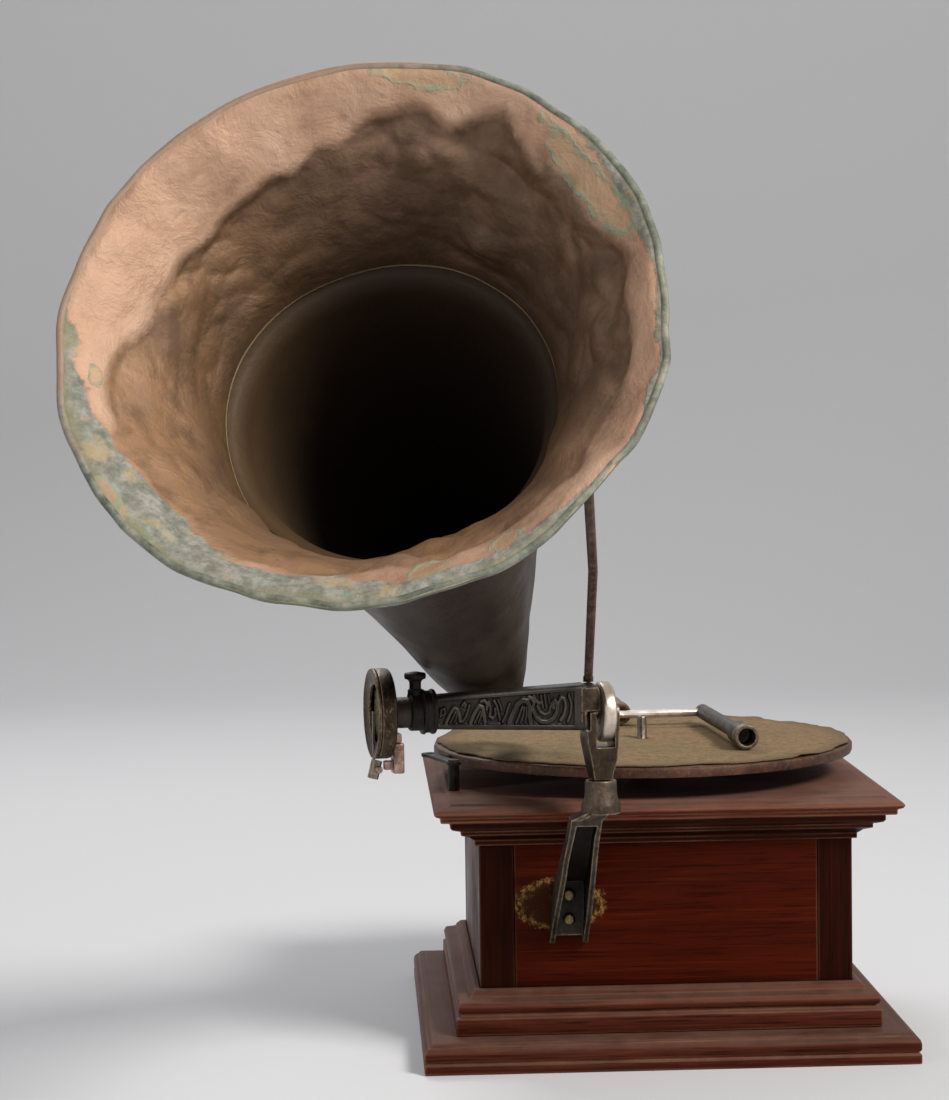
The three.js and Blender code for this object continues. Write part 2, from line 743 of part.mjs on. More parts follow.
const bevelApex = (bevelModule * bevelPinionTeeth) / 2;
const bevelReach = (bevelModule * bevelGearTeeth) / 2;
const bevelLevel = windingLevel + bevelApex;
const ratchetBottom = bevelLevel + bevelBack + bevelBack;
const ratchetRootRadius = ratchetRadius * 0.84;
const ratchetOutline = Array.from({ length: ratchetTeeth }, (_, i) => {
  const pitch = (Math.PI * 2) / ratchetTeeth;
  const drop = pitch * 0.04;
  const a = Math.PI / 2 + i * pitch;
  return [
    [ratchetRootRadius * Math.cos(a + drop), ratchetRootRadius * Math.sin(a + drop)],
    [ratchetRadius * Math.cos(a + pitch), ratchetRadius * Math.sin(a + pitch)],
  ];
}).flat();
const arbor = groupAt(barrelX, barrelY, 0);
piece('winding_arbor', carve(
  lathe([
    [0, lowerPlateLevel], [arborRadius, lowerPlateLevel], [arborRadius, lowerPlateTop + seatGap],
    [arborHubRadius, lowerPlateTop + seatGap], [arborHubRadius, barrelGearBottom - seatGap],
    [arborRadius, barrelGearBottom - seatGap], [arborRadius, bedplateTop], [0, bedplateTop],
  ], sides.shaft),
  [
    bevel(bevelGearTeeth, bevelModule, 0, bevelApex, bevelFace, bevelBack, arborRadius * 0.8)
      .rotateX(Math.PI).translate(0, 0, bevelLevel),
    extrude(ratchetOutline, ratchetThickness).translate(0, 0, ratchetBottom),
    rod(arborHubRadius, bevelLevel, ratchetBottom + ratchetThickness / 2),
  ],
), steel, arbor);

const windingInnerEnd = barrelX + bevelReach - bevelFace;
const windingOuterEnd = insideX;
piece('winding_shaft', carve(
  alongX(rod(windingShaftRadius, windingInnerEnd, windingOuterEnd), 0, barrelY, windingLevel),
  [bevel(bevelPinionTeeth, bevelModule, Math.PI / bevelPinionTeeth, bevelReach, bevelFace, bevelBack,
    windingShaftRadius * 0.8).rotateY(-Math.PI / 2).translate(barrelX + bevelReach, barrelY, windingLevel)],
), steel);

const click = groupAt(clickX, clickY, 0);
piece('ratchet_click', carve(
  block(-clickWidth / 2, -clickWidth / 2, ratchetBottom, clickLength, clickWidth / 2, ratchetBottom + ratchetThickness),
  [rod(clickPivotRadius, ratchetBottom, bedplateTop, sides.small)],
), steel, click);

// Turntable and spindle

const platter = groupAt(spindleX, spindleY, 0);
const spindlePinionBottom = wheelBottom - pinionReach;
const spindlePinionTop = wheelTop + pinionReach;
const platterHubBottom = platterTop - platterHubDepth;
const spindleSeatTop = platterHubBottom - seatGap;
const spindleSeatBottom = topBoardUnderside + seatGap;
const tipRound = spindleTipRadius / 2;
piece('spindle', carve(
  lathe([
    [0, lowerPlateLevel], [spindleRadius, lowerPlateLevel], [spindleRadius, spindleSeatBottom],
    [spindleSeatRadius, spindleSeatBottom], [spindleSeatRadius, spindleSeatTop],
    [spindleRadius, spindleSeatTop], [spindleRadius, platterTop],
    [spindleTipRadius, platterTop + feltThickness],
    ...arc(spindleTipRadius - tipRound, spindleTipLevel - tipRound, tipRound, 0, Math.PI / 2, 3),
    [0, spindleTipLevel],
  ], sides.shaft),
  [gear(pinionTeeth, gearModule, wheelToSpindle + Math.PI + halfPinionPitch, spindlePinionBottom, spindlePinionTop)],
), wornNickel, platter);

const wormLead = wormStarts * Math.PI * wormModule;
const wormTwist = (wormWheelThickness * wormLead) / (2 * Math.PI * wormRadius * wormWheelRadius);
piece('worm_wheel', carve(
  gear(wormWheelTeeth, wormModule, Math.PI, governorLevel - wormWheelThickness / 2,
    governorLevel + wormWheelThickness / 2, wormTwist),
  [rod(spindleSeatRadius, governorLevel - spindleSeatRadius, governorLevel + wormWheelThickness / 2)],
  [rod(spindleRadius + seatGap, governorLevel - platterHubDepth, governorLevel + platterHubDepth)],
), gearBrass, platter);

const platterPlateBottom = platterTop - platterPlateThickness;
const platterRimInner = platterRadius - platterPlateThickness;
const platterEdge = platterPlateThickness / 2;
piece('turntable', ringLathe([
  [spindleRadius + seatGap, platterTop], [spindleRadius + seatGap, platterHubBottom],
  [platterHubRadius, platterHubBottom], [platterHubRadius, platterPlateBottom],
  [platterRimInner, platterPlateBottom], [platterRimInner, platterTop - platterRimDepth],
  [platterRadius, platterTop - platterRimDepth], [platterRadius, platterTop - platterEdge],
  [platterRadius - platterEdge / 2, platterTop],
], sides.platter), agedBrass, platter);
piece('turntable_felt', ringLathe([
  [spindleRadius + seatGap, platterTop + seatGap], [feltRadius, platterTop + seatGap],
  [feltRadius, platterTop + seatGap + feltThickness],
  [spindleRadius + seatGap, platterTop + seatGap + feltThickness],
], sides.platter), feltCloth, platter);

// Governor

const governor = groupAt(governorX, spindleY, governorLevel);
governor.rotation.x = -Math.PI / 2;
const wormThreadShares = { root: 0.28, tip: 0.1 };
const wormCorners = Array.from({ length: wormStarts }, (_, i) => {
  const pitch = (Math.PI * 2) / wormStarts;
  const a = pitch / 2 + i * pitch;
  const low = wormRadius - wormModule * toothShares.dedendum;
  const high = wormRadius + wormModule * toothShares.addendum;
  return [
    [a - pitch * wormThreadShares.root, low], [a - pitch * wormThreadShares.tip, high],
    [a + pitch * wormThreadShares.tip, high], [a + pitch * wormThreadShares.root, low],
  ];
}).flat();
const wormTurn = (z) => (z / wormLead) * Math.PI * 2;
const wormRing = (z) => wormCorners.map(([a, r]) => V3(
  r * Math.cos(a + wormTurn(z)), r * Math.sin(a + wormTurn(z)), z));
const shaftRing = (radius, z, turn) => wormCorners.map(([a]) => V3(
  radius * Math.cos(a + turn), radius * Math.sin(a + turn), z));
const wormStart = -wormLength / 2;
const collarEnd = -governorFrontReach + governorPostThickness;
const collarStart = collarEnd + governorCollarLength;
const lowTurn = wormTurn(wormStart);
const highTurn = wormTurn(wormLength / 2);
piece('governor_shaft', loft([
  shaftRing(governorShaftRadius, -governorFrontReach - governorPostThickness / 2, lowTurn),
  shaftRing(governorShaftRadius, collarEnd, lowTurn), shaftRing(governorCollarRadius, collarEnd, lowTurn),
  shaftRing(governorCollarRadius, collarStart, lowTurn), shaftRing(governorShaftRadius, collarStart, lowTurn),
  shaftRing(governorShaftRadius, wormStart - wormModule, lowTurn),
  ...Array.from({ length: wormSteps + 1 }, (_, i) => wormRing(mix(wormStart, wormLength / 2, i / wormSteps))),
  shaftRing(governorShaftRadius, wormLength / 2 + wormModule, highTurn),
  shaftRing(governorShaftRadius, governorRearReach + governorPostThickness / 2, highTurn),
]), steel, governor);

const discStart = collarStart + governorSpan;
piece('governor_disc', ringLathe([
  [governorShaftRadius + seatGap, discStart], [governorCollarRadius, discStart],
  [governorCollarRadius, discStart + governorCollarLength],
  [governorDiscRadius, discStart + governorCollarLength],
  [governorDiscRadius, discStart + governorCollarLength + governorDiscThickness],
  [governorShaftRadius + seatGap, discStart + governorCollarLength + governorDiscThickness],
], sides.turned), agedBrass, governor);

// A leaf spring that bows away from the shaft, with its weight riveted to its middle
const springFoot = governorCollarRadius + seatGap;
const springLength = governorSpan + governorCollarLength * 1.4;
const springFrom = collarStart - governorCollarLength * 0.7;
const leaf = (offset) => Array.from({ length: 9 }, (_, i) => {
  const t = i / 8;
  return [springFrom + springLength * t, springFoot + offset + governorBow * Math.sin(Math.PI * t) ** 2];
});
const weightMiddle = springFrom + springLength / 2;
const weightLow = springFoot + governorBow;
for (let i = 0; i < governorWeights; i += 1) {
  const outline = [...leaf(0), ...leaf(governorSpringThickness).reverse()].map(([z, r]) => [r, z]);
  const strip = extrude(outline, governorWeightWidth).translate(0, 0, -governorWeightWidth / 2)
    .rotateX(Math.PI / 2);
  const lump = block(weightLow, -governorWeightWidth / 2, weightMiddle - governorWeightLength / 2,
    weightLow + governorWeightHeight, governorWeightWidth / 2, weightMiddle + governorWeightLength / 2);
  const turned = carve(strip, [lump]).rotateZ((i / governorWeights) * Math.PI * 2 + Math.PI / 6);
  piece(`governor_weight_${i + 1}`, turned, agedBrass, governor);
}

// Bracket

// A ring of 16 points between the rectangle (roundness 0) and the ellipse (roundness 1)
function squareRing(x0, x1, y0, y1, z, roundness) {
  const corners = 16;
  return Array.from({ length: corners }, (_, i) => {
    const a = (i / corners) * Math.PI * 2;
    const [c, s] = [Math.cos(a), Math.sin(a)];
    const square = 1 / Math.max(Math.abs(c), Math.abs(s));
    const k = mix(square, 1, roundness);
    return V3(mix(x0, x1, 0.5 + (c * k) / 2), mix(y0, y1, 0.5 + (s * k) / 2), z);
  });
}

// The casting's outline at falling heights, as shares: left and right of the socket's axis over
// the foot's width, front and back over the way to the case, and the drop over the whole drop
const bracketBack = -bodyY - seatGap;
const bracketWay = bracketBack - pivotY;
const bracketDrop = channelTop - bracketFootLevel;
const bracketShares = [
  [-0.662, 0.008, -0.162, 0.162, 0], [-0.719, -0.046, -0.09, 0.253, 0.142],
  [-0.798, -0.072, 0.036, 0.415, 0.297], [-0.844, -0.091, 0.181, 0.722, 0.456],
  [-0.878, -0.103, 0.289, 1, 0.557], [-0.951, -0.11, 0.614, 1, 0.797],
  [-0.977, -0.129, 0.758, 1, 0.899], [-1, -0.144, 0.875, 1, 1],
];
const bracketStations = bracketShares.map(([left, right, front, back, drop]) => ({
  left: left * bracketFootReach,
  right: right * bracketFootReach,
  front: front * bracketWay,
  back: back * bracketWay,
  z: channelTop - drop * bracketDrop,
}));
const outerRings = bracketStations.map((s) => squareRing(
  pivotX + s.left, pivotX + s.right, pivotY + s.front, pivotY + s.back, s.z, 0.06));
const socketRing = (radius, z) => squareRing(
  pivotX - radius, pivotX + radius, pivotY - radius, pivotY + radius, z, 1);
const webBottom = bracketFootLevel + bracketWeb;
const channelFront = overrun * 20;
const channelRings = bracketStations.map((s) => squareRing(
  pivotX + s.left + bracketFlange, pivotX + s.right - bracketFlange,
  pivotY + s.front - channelFront, pivotY + s.back - bracketWeb, s.z, 0));
const channelEnds = [channelRings[0].map((p) => V3(p.x, p.y, p.z - bracketWeb)), ...channelRings.slice(1, -1),
  channelRings.at(-1).map((p) => V3(p.x, p.y, p.z - overrun))];
const stemBottom = pinLevel - yokeHeight - yokeStemLength;
piece('arm_bracket', carve(
  loft([
    socketRing(socketTopRadius * 0.94, socketTop), socketRing(socketTopRadius, socketTop - seatGap * 3),
    socketRing(socketTopRadius, socketTop - socketTopRadius * 0.8),
    socketRing(socketFootRadius, socketTop - socketTopRadius * 1.2),
    socketRing(socketFootRadius, socketFoot), ...outerRings,
  ]),
  [],
  [
    loft(channelEnds),
    block(pivotX + bracketStations.at(-1).left + bracketFlange, bracketBack - bracketWeb - overrun,
      bracketFootLevel - overrun, pivotX + bracketStations.at(-1).right - bracketFlange,
      bracketBack + overrun, webBottom),
    rod(yokeStemRadius + seatGap, stemBottom - seatGap, socketTop + overrun).translate(pivotX, pivotY, 0),
    ...bracketScrewLevels.map((z) => towardFront(rod(screwShankRadius + seatGap, -overrun,
      bracketWeb * 2, sides.small), bracketScrewX, bracketBack, z)),
  ],
), wornNickel);
const screwProfile = [
  [0, -screwShankLength], [screwShankRadius, -screwShankLength], [screwShankRadius, 0], [screwRadius, 0],
  [screwRadius, screwHeadHeight * 0.5], [screwRadius * 0.7, screwHeadHeight * 0.9], [0, screwHeadHeight],
];
for (const [i, z] of bracketScrewLevels.entries()) {
  piece(`bracket_screw_${i + 1}`, towardFront(lathe(screwProfile, sides.shaft),
    bracketScrewX, bracketBack - bracketWeb - seatGap, z), agedBrass);
}

// Yoke and pin

const knuckle = groupAt(pivotX, pivotY, pinLevel);
knuckle.rotation.z = armTurn;
const yokeFrontShares = [
  [-0.55, -1], [0.55, -1], [0.67, -0.84], [0.81, -0.65], [0.97, -0.43], [1, -0.287], [1, -0.268],
  [0.8125, -0.257], [0.8125, 0.18], [-0.94, 0.18], [-0.92, -0.27], [-0.85, -0.46], [-0.77, -0.7], [-0.58, -0.89],
];
const wide = yokeHeight * 2;
const yokeFront = extrude(yokeFrontShares.map(([x, z]) => [x * yokeShoulder, z * yokeHeight]), wide)
  .rotateX(Math.PI / 2).translate(0, wide / 2, 0);
const ledgeAngle = Math.asin(ledgeTop / yokeHeadRadius);
const yokeSide = extrude([
  [-yokeHalfDepth * 0.8, -yokeHeight], [yokeHalfDepth * 0.8, -yokeHeight],
  [yokeHalfDepth, -yokeHeight * 0.76], [yokeHalfDepth, -yokeHeight * 0.17],
  [ledgeReach, -yokeHeight * 0.08], [ledgeReach, ledgeTop],
  ...arc(0, 0, yokeHeadRadius, ledgeAngle, Math.PI, 9),
  [-yokeHeadRadius, -yokeHeight * 0.22], [-yokeHalfDepth, -yokeHeight * 0.38],
  [-yokeHalfDepth, -yokeHeight * 0.76],
], wide).rotateZ(Math.PI / 2).rotateY(Math.PI / 2).translate(-wide / 2, 0, 0);
const pinAlong = (radius, from, to) => alongX(rod(radius, from, to), 0, 0, 0);
const pinStart = -yokeShoulder * 0.94 - seatGap;
const pinEnd = yokeShoulder * 0.8125 + seatGap;
piece('yoke', carve(common(yokeFront, yokeSide), [
  rod(yokeStemRadius, -yokeHeight - yokeStemLength, -yokeHeight + seatGap),
], [
  block(slotStart, -wide, -slotDepth, slotEnd, wide, wide),
  pinAlong(pinRadius + seatGap, -wide, wide),
]), wornNickel, knuckle);
piece('pivot_pin', alongX(lathe([
  [0, pinStart - pinHeadHeight], [pinHeadRadius, pinStart - pinHeadHeight], [pinHeadRadius, pinStart],
  [pinRadius, pinStart], [pinRadius, pinEnd], [0, pinEnd],
], sides.shaft), 0, 0, 0), brightNickel, knuckle);

const discEdge = pinHeadHeight * 0.8;
piece('knuckle_disc', alongX(ringLathe([
  [pinRadius + seatGap, discStartX], [discRadius - discEdge, discStartX], [discRadius, discStartX + discEdge],
  [discRadius, discEndX - discEdge], [discRadius - discEdge, discEndX], [pinRadius + seatGap, discEndX],
], sides.soundbox), 0, 0, 0), brightNickel, knuckle);

// Tone arm

const armShare = (x) => (x - armStart) / (armEnd - armStart);
const armTop = (x) => mix(armTopAtStart, armTopAtEnd, armShare(x));
const armBottom = (x) => mix(armBottomAtStart, armBottomAtEnd, armShare(x));
const armHalf = (x) => mix(armThicknessAtStart, armThicknessAtEnd, armShare(x)) / 2;
const cornerShares = [[0, 1], [0.3, 0.3], [1, 0]];
function armRing(x) {
  const [half, low, high, c] = [armHalf(x), armBottom(x), armTop(x), armCorner];
  return [[1, 1], [1, -1], [-1, -1], [-1, 1]].flatMap(([sy, sz]) => {
    const turned = sy * sz > 0 ? cornerShares : [...cornerShares].reverse();
    return turned.map(([a, b]) => V3(x, sy * (half - c * b), (sz > 0 ? high : low) - sz * c * a));
  });
}
const carvingEnd = armEnd - carvingMargin;
const carvingRing = (x, side) => [[-1, -1], [1, -1], [1, 1], [-1, 1]].map(([u, v]) => V3(
  x, side * (armHalf(x) + (u > 0 ? overrun : -carvingDepth)),
  (v > 0 ? armTop(x) - carvingMargin : armBottom(x) + carvingMargin)));
const carvingCuts = [-1, 1].map((side) => loft([carvingRing(carvingStart, side), carvingRing(carvingEnd, side)]));

// Raised scrolls in both sunk panels: [place along the panel, height share, size share, turn, hand]
const scrollShares = [
  [0.1, 0.42, 0.3, 0.2, 1], [0.26, 0.6, 0.26, 2.6, -1], [0.44, 0.4, 0.34, 0.6, 1],
  [0.62, 0.58, 0.3, 3.4, -1], [0.8, 0.42, 0.36, 0.2, 1],
];
function scroll(x, z, size, turn, hand) {
  const edge = (offset) => Array.from({ length: scrollSteps + 1 }, (_, i) => {
    const t = i / scrollSteps;
    const r = size * (1 - 0.74 * t) + offset * (1 - 0.3 * t);
    const a = turn + hand * scrollTurn * t;
    return [x + r * Math.cos(a), z + r * Math.sin(a)];
  });
  return extrude([...edge(scrollLine / 2), ...edge(-scrollLine / 2).reverse()], carvingDepth * 1.5);
}
const scrolls = [-1, 1].flatMap((side) => scrollShares.map(([along, up, size, turn, hand]) => {
  const x = mix(carvingStart, carvingEnd, along);
  const [low, high] = [armBottom(x) + carvingMargin, armTop(x) - carvingMargin];
  return scroll(x, mix(low, high, up), (high - low) * size, turn, hand).rotateX(Math.PI / 2)
    .translate(0, side > 0 ? armHalf(x) : -armHalf(x) + carvingDepth * 1.5, 0);
}));

const collarStartX = armEnd - seatGap;
const clampStart = armEnd + collarLength;
const clampEnd = clampStart + clampLength;
const couplingSocket = couplingRadius + seatGap;
const thumbX = clampStart + clampLength * 0.42;
const onBore = (geometry) => alongX(geometry, 0, 0, boreLevel);
const bridgeHalf = armHalf(armStart);
const bridgeInner = yokeHeadRadius + seatGap + ledgeTop / 12;
const bridgeFrom = THREE.MathUtils.degToRad(10);
const bridgeTo = THREE.MathUtils.degToRad(162);
const bridgeSector = extrude([
  ...arc(0, 0, bridgeRadius, bridgeFrom, bridgeTo, 12), ...arc(0, 0, bridgeInner, bridgeTo, bridgeFrom, 8),
], armStart + armCorner * 2 - bridgeStart).rotateZ(Math.PI / 2).rotateY(Math.PI / 2).translate(bridgeStart, 0, 0);
const bridgeOutlineShares = [[0, 0], [0, 0.67], [0.13, 0.9], [0.4, 1.02], [1.6, 1.02], [1.6, 0]];
const bridgeLength = armStart - bridgeStart;
const bridgeBlock = extrude(bridgeOutlineShares.map(([x, z]) => [
  bridgeStart + bridgeLength * x, bridgeRadius * z]), bridgeHalf * 2)
  .rotateX(Math.PI / 2).translate(0, bridgeHalf, 0);
const armBody = carve(
  loft([armRing(armStart), armRing(armEnd)]),
  [
    onBore(rod(collarRadius, collarStartX, clampStart, sides.soundbox)),
    onBore(rod(clampRadius, clampStart - seatGap, clampEnd, sides.soundbox)),
    rod(screwBossRadius, boreLevel + couplingSocket + seatGap, screwBossTop).translate(thumbX, 0, 0),
    common(bridgeSector, bridgeBlock),
  ],
  carvingCuts,
);
piece('tone_arm', carve(armBody, scrolls, [
  onBore(rod(boreRadius, portX - portRadius * 0.6, armEnd + overrun)),
  onBore(rod(couplingSocket, couplingStart - seatGap, clampEnd + overrun, sides.soundbox)),
  rod(thumbStemRadius + seatGap, boreLevel, screwBossTop + overrun).translate(thumbX, 0, 0),
  rod(portRadius, 0, armThicknessAtStart).rotateX(Math.PI / 2).translate(portX, 0, portLevel),
]), blackJapan, knuckle);

const thumbBottom = boreLevel + couplingRadius + seatGap;
const knurlOutline = Array.from({ length: knurls * 2 }, (_, i) => {
  const a = (i / (knurls * 2)) * Math.PI * 2;
  const r = thumbHeadRadius * (i % 2 ? 0.93 : 1);
  return [r * Math.cos(a), r * Math.sin(a)];
});
piece('thumb_screw', carve(
  rod(thumbStemRadius, thumbBottom, thumbStemTop + thumbHeadHeight / 2),
  [extrude(knurlOutline, thumbHeadHeight).translate(0, 0, thumbStemTop)],
).translate(thumbX, 0, 0), blackJapan, knuckle);

// Soundbox

const soundboxFront = soundboxBack + soundboxThickness;
const couplingEnd = soundboxBack - seatGap;
const caseEnd = soundboxFront - ringThickness * 1.6;
const wallInner = soundboxRadius - soundboxWall;
piece('coupling_tube', onBore(ringLathe([
  [boreRadius, couplingStart], [couplingRadius, couplingStart], [couplingRadius, couplingEnd],
  [boreRadius, couplingEnd],
], sides.turned)), brownWood, knuckle);
const lugBottom = blockTop + seatGap;
const leverSlot = leverWidth + runningGap * 2;
const leverNotch = (from, to) => block(from, -leverSlot / 2, boreLevel - soundboxRadius - overrun,
  to, leverSlot / 2, boreLevel - ringOpeningRadius);
piece('soundbox_case', carve(
  onBore(ringLathe([
    [boreRadius, soundboxBack], [soundboxBackRadius, soundboxBack],
    [soundboxRadius - seatGap, soundboxBack + soundboxWall * 0.8], [soundboxRadius, soundboxBack + soundboxWall * 1.4],
    [soundboxRadius, caseEnd], [wallInner, caseEnd], [wallInner, soundboxBack + soundboxWall],
    [boreRadius, soundboxBack + soundboxWall],
  ], sides.soundbox)),
  [block(soundboxBack - lugHeight, -lugWidth / 2, lugBottom, soundboxBack + soundboxWall / 2, lugWidth / 2,
    lugBottom + lugHeight)],
), agedBrass, knuckle);
piece('soundbox_ring', carve(onBore(ringLathe([
  [wallInner, caseEnd + seatGap], [soundboxRadius, caseEnd + seatGap], [soundboxRadius, soundboxFront - seatGap],
  [soundboxRadius - seatGap, soundboxFront], [soundboxRadius - soundboxWall, soundboxFront],
  [soundboxRadius - soundboxWall * 2.4, soundboxFront - ringThickness * 0.7],
  [ringOpeningRadius, soundboxFront - ringThickness * 1.5],
  [ringOpeningRadius, soundboxFront - ringThickness * 2.2], [wallInner - seatGap, soundboxFront - ringThickness * 2.2],
], sides.soundbox)), [], [leverNotch(soundboxFront - ringThickness * 1.5, soundboxFront + overrun)]),
agedBrass, knuckle);
const diaphragmFront = soundboxFront - diaphragmDepth;
const diaphragmBack = diaphragmFront - diaphragmThickness;
piece('diaphragm', onBore(rod(wallInner - seatGap, diaphragmBack, diaphragmFront, sides.soundbox)), mica, knuckle);
const gasketOuter = wallInner - seatGap;
const gasket = (from, to) => onBore(ringLathe([
  [gasketOuter - gasketWidth, from], [gasketOuter, from], [gasketOuter, to], [gasketOuter - gasketWidth, to],
], sides.soundbox));
piece('gasket_front', gasket(diaphragmFront + seatGap, soundboxFront - ringThickness * 2.2 - seatGap),
  blackRubber, knuckle);
piece('gasket_rear', gasket(soundboxBack + soundboxWall + seatGap, diaphragmBack - seatGap), blackRubber, knuckle);

// The block under the lug carries the stylus lever, whose bar reaches the diaphragm's middle
const leverX = soundboxFront - ringThickness * 1.5 + seatGap;
const chuckX = leverX - leverThickness;
const chuckTop = boreLevel - soundboxRadius - seatGap - chuckRadius * Math.sin(chuckLean);
const tongueTop = chuckTop - seatGap;
const tongueBottom = tongueTop - lugHeight;
piece('stylus_block', carve(
  block(soundboxBack - seatGap - blockLength, -blockWidth / 2, blockBottom, soundboxBack - seatGap, blockWidth / 2,
    blockTop),
  [block(soundboxBack - seatGap - overrun, -blockWidth / 4, tongueBottom, chuckX - chuckRadius - seatGap * 2,
    blockWidth / 4, tongueTop)],
), wornNickel, knuckle);
const leverTopZ = boreLevel + leverWidth / 2;
const needleKnobLevel = chuckTop - chuckLength * 0.45;
const leverFoot = chuckTop - leverWidth;
const chuckAxis = (geometry) => geometry.translate(0, 0, -chuckTop).rotateY(-chuckLean)
  .translate(chuckX, 0, chuckTop);
piece('stylus_lever', carve(
  chuckAxis(rod(chuckRadius, chuckTop - chuckLength, chuckTop)),
  [
    block(leverX, -leverWidth / 2, leverFoot, leverX + leverThickness, leverWidth / 2, leverTopZ),
    block(chuckX, -leverWidth / 2, leverFoot, leverX + leverThickness, leverWidth / 2, chuckTop),
    alongX(rod(leverWidth / 2.4, diaphragmFront + seatGap, leverX + leverThickness / 2, sides.small), 0, 0, boreLevel),
  ],
  [
    chuckAxis(rod(chuckBore, chuckTop - chuckLength - overrun, chuckTop - chuckLength * 0.25, sides.small)),
    rod(needleStemRadius + seatGap, 0, chuckRadius * 2, sides.small).rotateX(-Math.PI / 2)
      .translate(chuckX, 0, needleKnobLevel),
  ],
), brightNickel, knuckle);
const knobRing = chuckRadius + seatGap * 2;
piece('needle_clamp', lathe([
  [0, chuckBore + seatGap], [needleStemRadius, chuckBore + seatGap], [needleStemRadius, knobRing],
  [needleKnobRadius, knobRing], [needleKnobRadius, knobRing + needleKnobLength * 0.6],
  [needleKnobRadius * 0.8, knobRing + needleKnobLength], [0, knobRing + needleKnobLength],
], sides.shaft).rotateX(-Math.PI / 2).translate(chuckX, 0, needleKnobLevel), steel, knuckle);

// Horn

const upward = V3(0, 0, 1);
const hornAxis = V3(
  -Math.sin(hornAzimuth) * Math.cos(hornElevation),
  -Math.cos(hornAzimuth) * Math.cos(hornElevation),
  Math.sin(hornElevation),
);
const tail = V3(tailX, tailY, tailLevel);
const hornSide = hornAxis.clone().cross(upward).normalize();
const hornUp = hornSide.clone().cross(hornAxis);

// In the horn's frame Z is the depth behind the mouth
const horn = groupAt(0, 0, 0);
horn.position.copy(tail).addScaledVector(hornAxis, tailDepth);
horn.quaternion.setFromRotationMatrix(new THREE.Matrix4().makeBasis(
  hornSide, hornUp, hornAxis.clone().negate()));
horn.updateMatrixWorld(true);
knuckle.updateMatrixWorld(true);
const onHorn = (x, y, z) => horn.localToWorld(V3(x, y, z));
const onArm = (x, y, z) => knuckle.localToWorld(V3(x, y, z));

// The bell's inside radius: a straight part and a cubic flare together
const flare = hornRadius - rimBeadRadius - seamRadius;
const bellRadius = (d) => {
  const u = 1 - d / seamDepth;
  return seamRadius + flare * (flareShare * u ** 3 + (1 - flareShare) * u);
};
const bellSlope = (d) => {
  const u = 1 - d / seamDepth;
  return (-flare / seamDepth) * (3 * flareShare * u ** 2 + 1 - flareShare);
};
// The bell's outside, offset from its inside by a thickness, as [radius, depth]
const bellOutside = (d, thickness) => {
  const s = bellSlope(d);
  const k = thickness / Math.hypot(1, s);
  return [bellRadius(d) + k, d - s * k];
};
const bellShares = [1, 0.84, 0.66, 0.49, 0.33, 0.2, 0.08];
const bellDepths = bellShares.map((share) => seamDepth * share);
const beadRadius = hornRadius - rimBeadRadius;
const bead = arc(beadRadius, rimBeadRadius, rimBeadRadius, -Math.PI * 0.82, Math.PI * 0.62, 5);
piece('horn_bell', ringLathe([
  ...bellDepths.map((d) => [bellRadius(d), d]), ...bead,
  ...[...bellDepths].reverse().map((d) => bellOutside(d, hornWall)),
], sides.horn), hornInside, horn);

const lapGap = hornWall + seatGap;
const lapStart = seamDepth - seamLap;
const lapDepths = [lapStart, seamDepth - seamLap / 2, seamDepth + seatGap];
const coneRadius = (d) => mix(neckMiddleRadius, tailRadius, (d - neckMiddleDepth) / (tailDepth - neckMiddleDepth));
const shoulderDepth = seamDepth + seamLap * 1.6;
const neckOutside = [
  ...lapDepths.map((d) => [bellRadius(d) + lapGap + hornWall, d]),
  [coneRadius(shoulderDepth) - hornWall * 2, shoulderDepth],
  [coneRadius(mix(shoulderDepth, neckMiddleDepth, 0.4)) - hornWall, mix(shoulderDepth, neckMiddleDepth, 0.4)],
  [neckMiddleRadius, neckMiddleDepth],
  [coneRadius(mix(neckMiddleDepth, tailDepth, 0.5)), mix(neckMiddleDepth, tailDepth, 0.5)],
  [tailRadius, tailDepth],
];
piece('horn_neck', ringLathe([
  ...neckOutside, ...[...neckOutside].reverse().map(([r, d]) => [r - hornWall, d]),
], sides.horn), hornOutside, horn);

// Elbow behind the arm

// A round bar through points, with a radius at each point
function pipe(points, radii, stepsPerSpan, count) {
  const curve = new THREE.CatmullRomCurve3(points);
  const spans = points.length - 1;
  const steps = spans * stepsPerSpan;
  return loft(Array.from({ length: steps + 1 }, (_, i) => {
    const t = i / steps;
    const k = Math.min(Math.floor(t * spans), spans - 1);
    const radius = mix(radii[k], radii[k + 1], t * spans - k);
    const centre = curve.getPoint(t);
    const ahead = curve.getTangent(t);
    const aside = ahead.clone().cross(upward).normalize();
    const above = aside.clone().cross(ahead);
    return circle(radius, count).map(([u, v]) => centre.clone().addScaledVector(aside, u).addScaledVector(above, v));
  }));
}

const spigotRadius = tailRadius - hornWall - seatGap;
const armBack = onArm(portX, -armHalf(portX) - seatGap, portLevel);
const backward = onArm(portX, -armHalf(portX) - seatGap - elbowRadius, portLevel).sub(armBack).normalize();
const bendX = (tailX + elbowReturnX) / 2;
const bendHalf = (elbowReturnX - tailX) / 2;
const bendDepth = elbowReturnY - tailY;
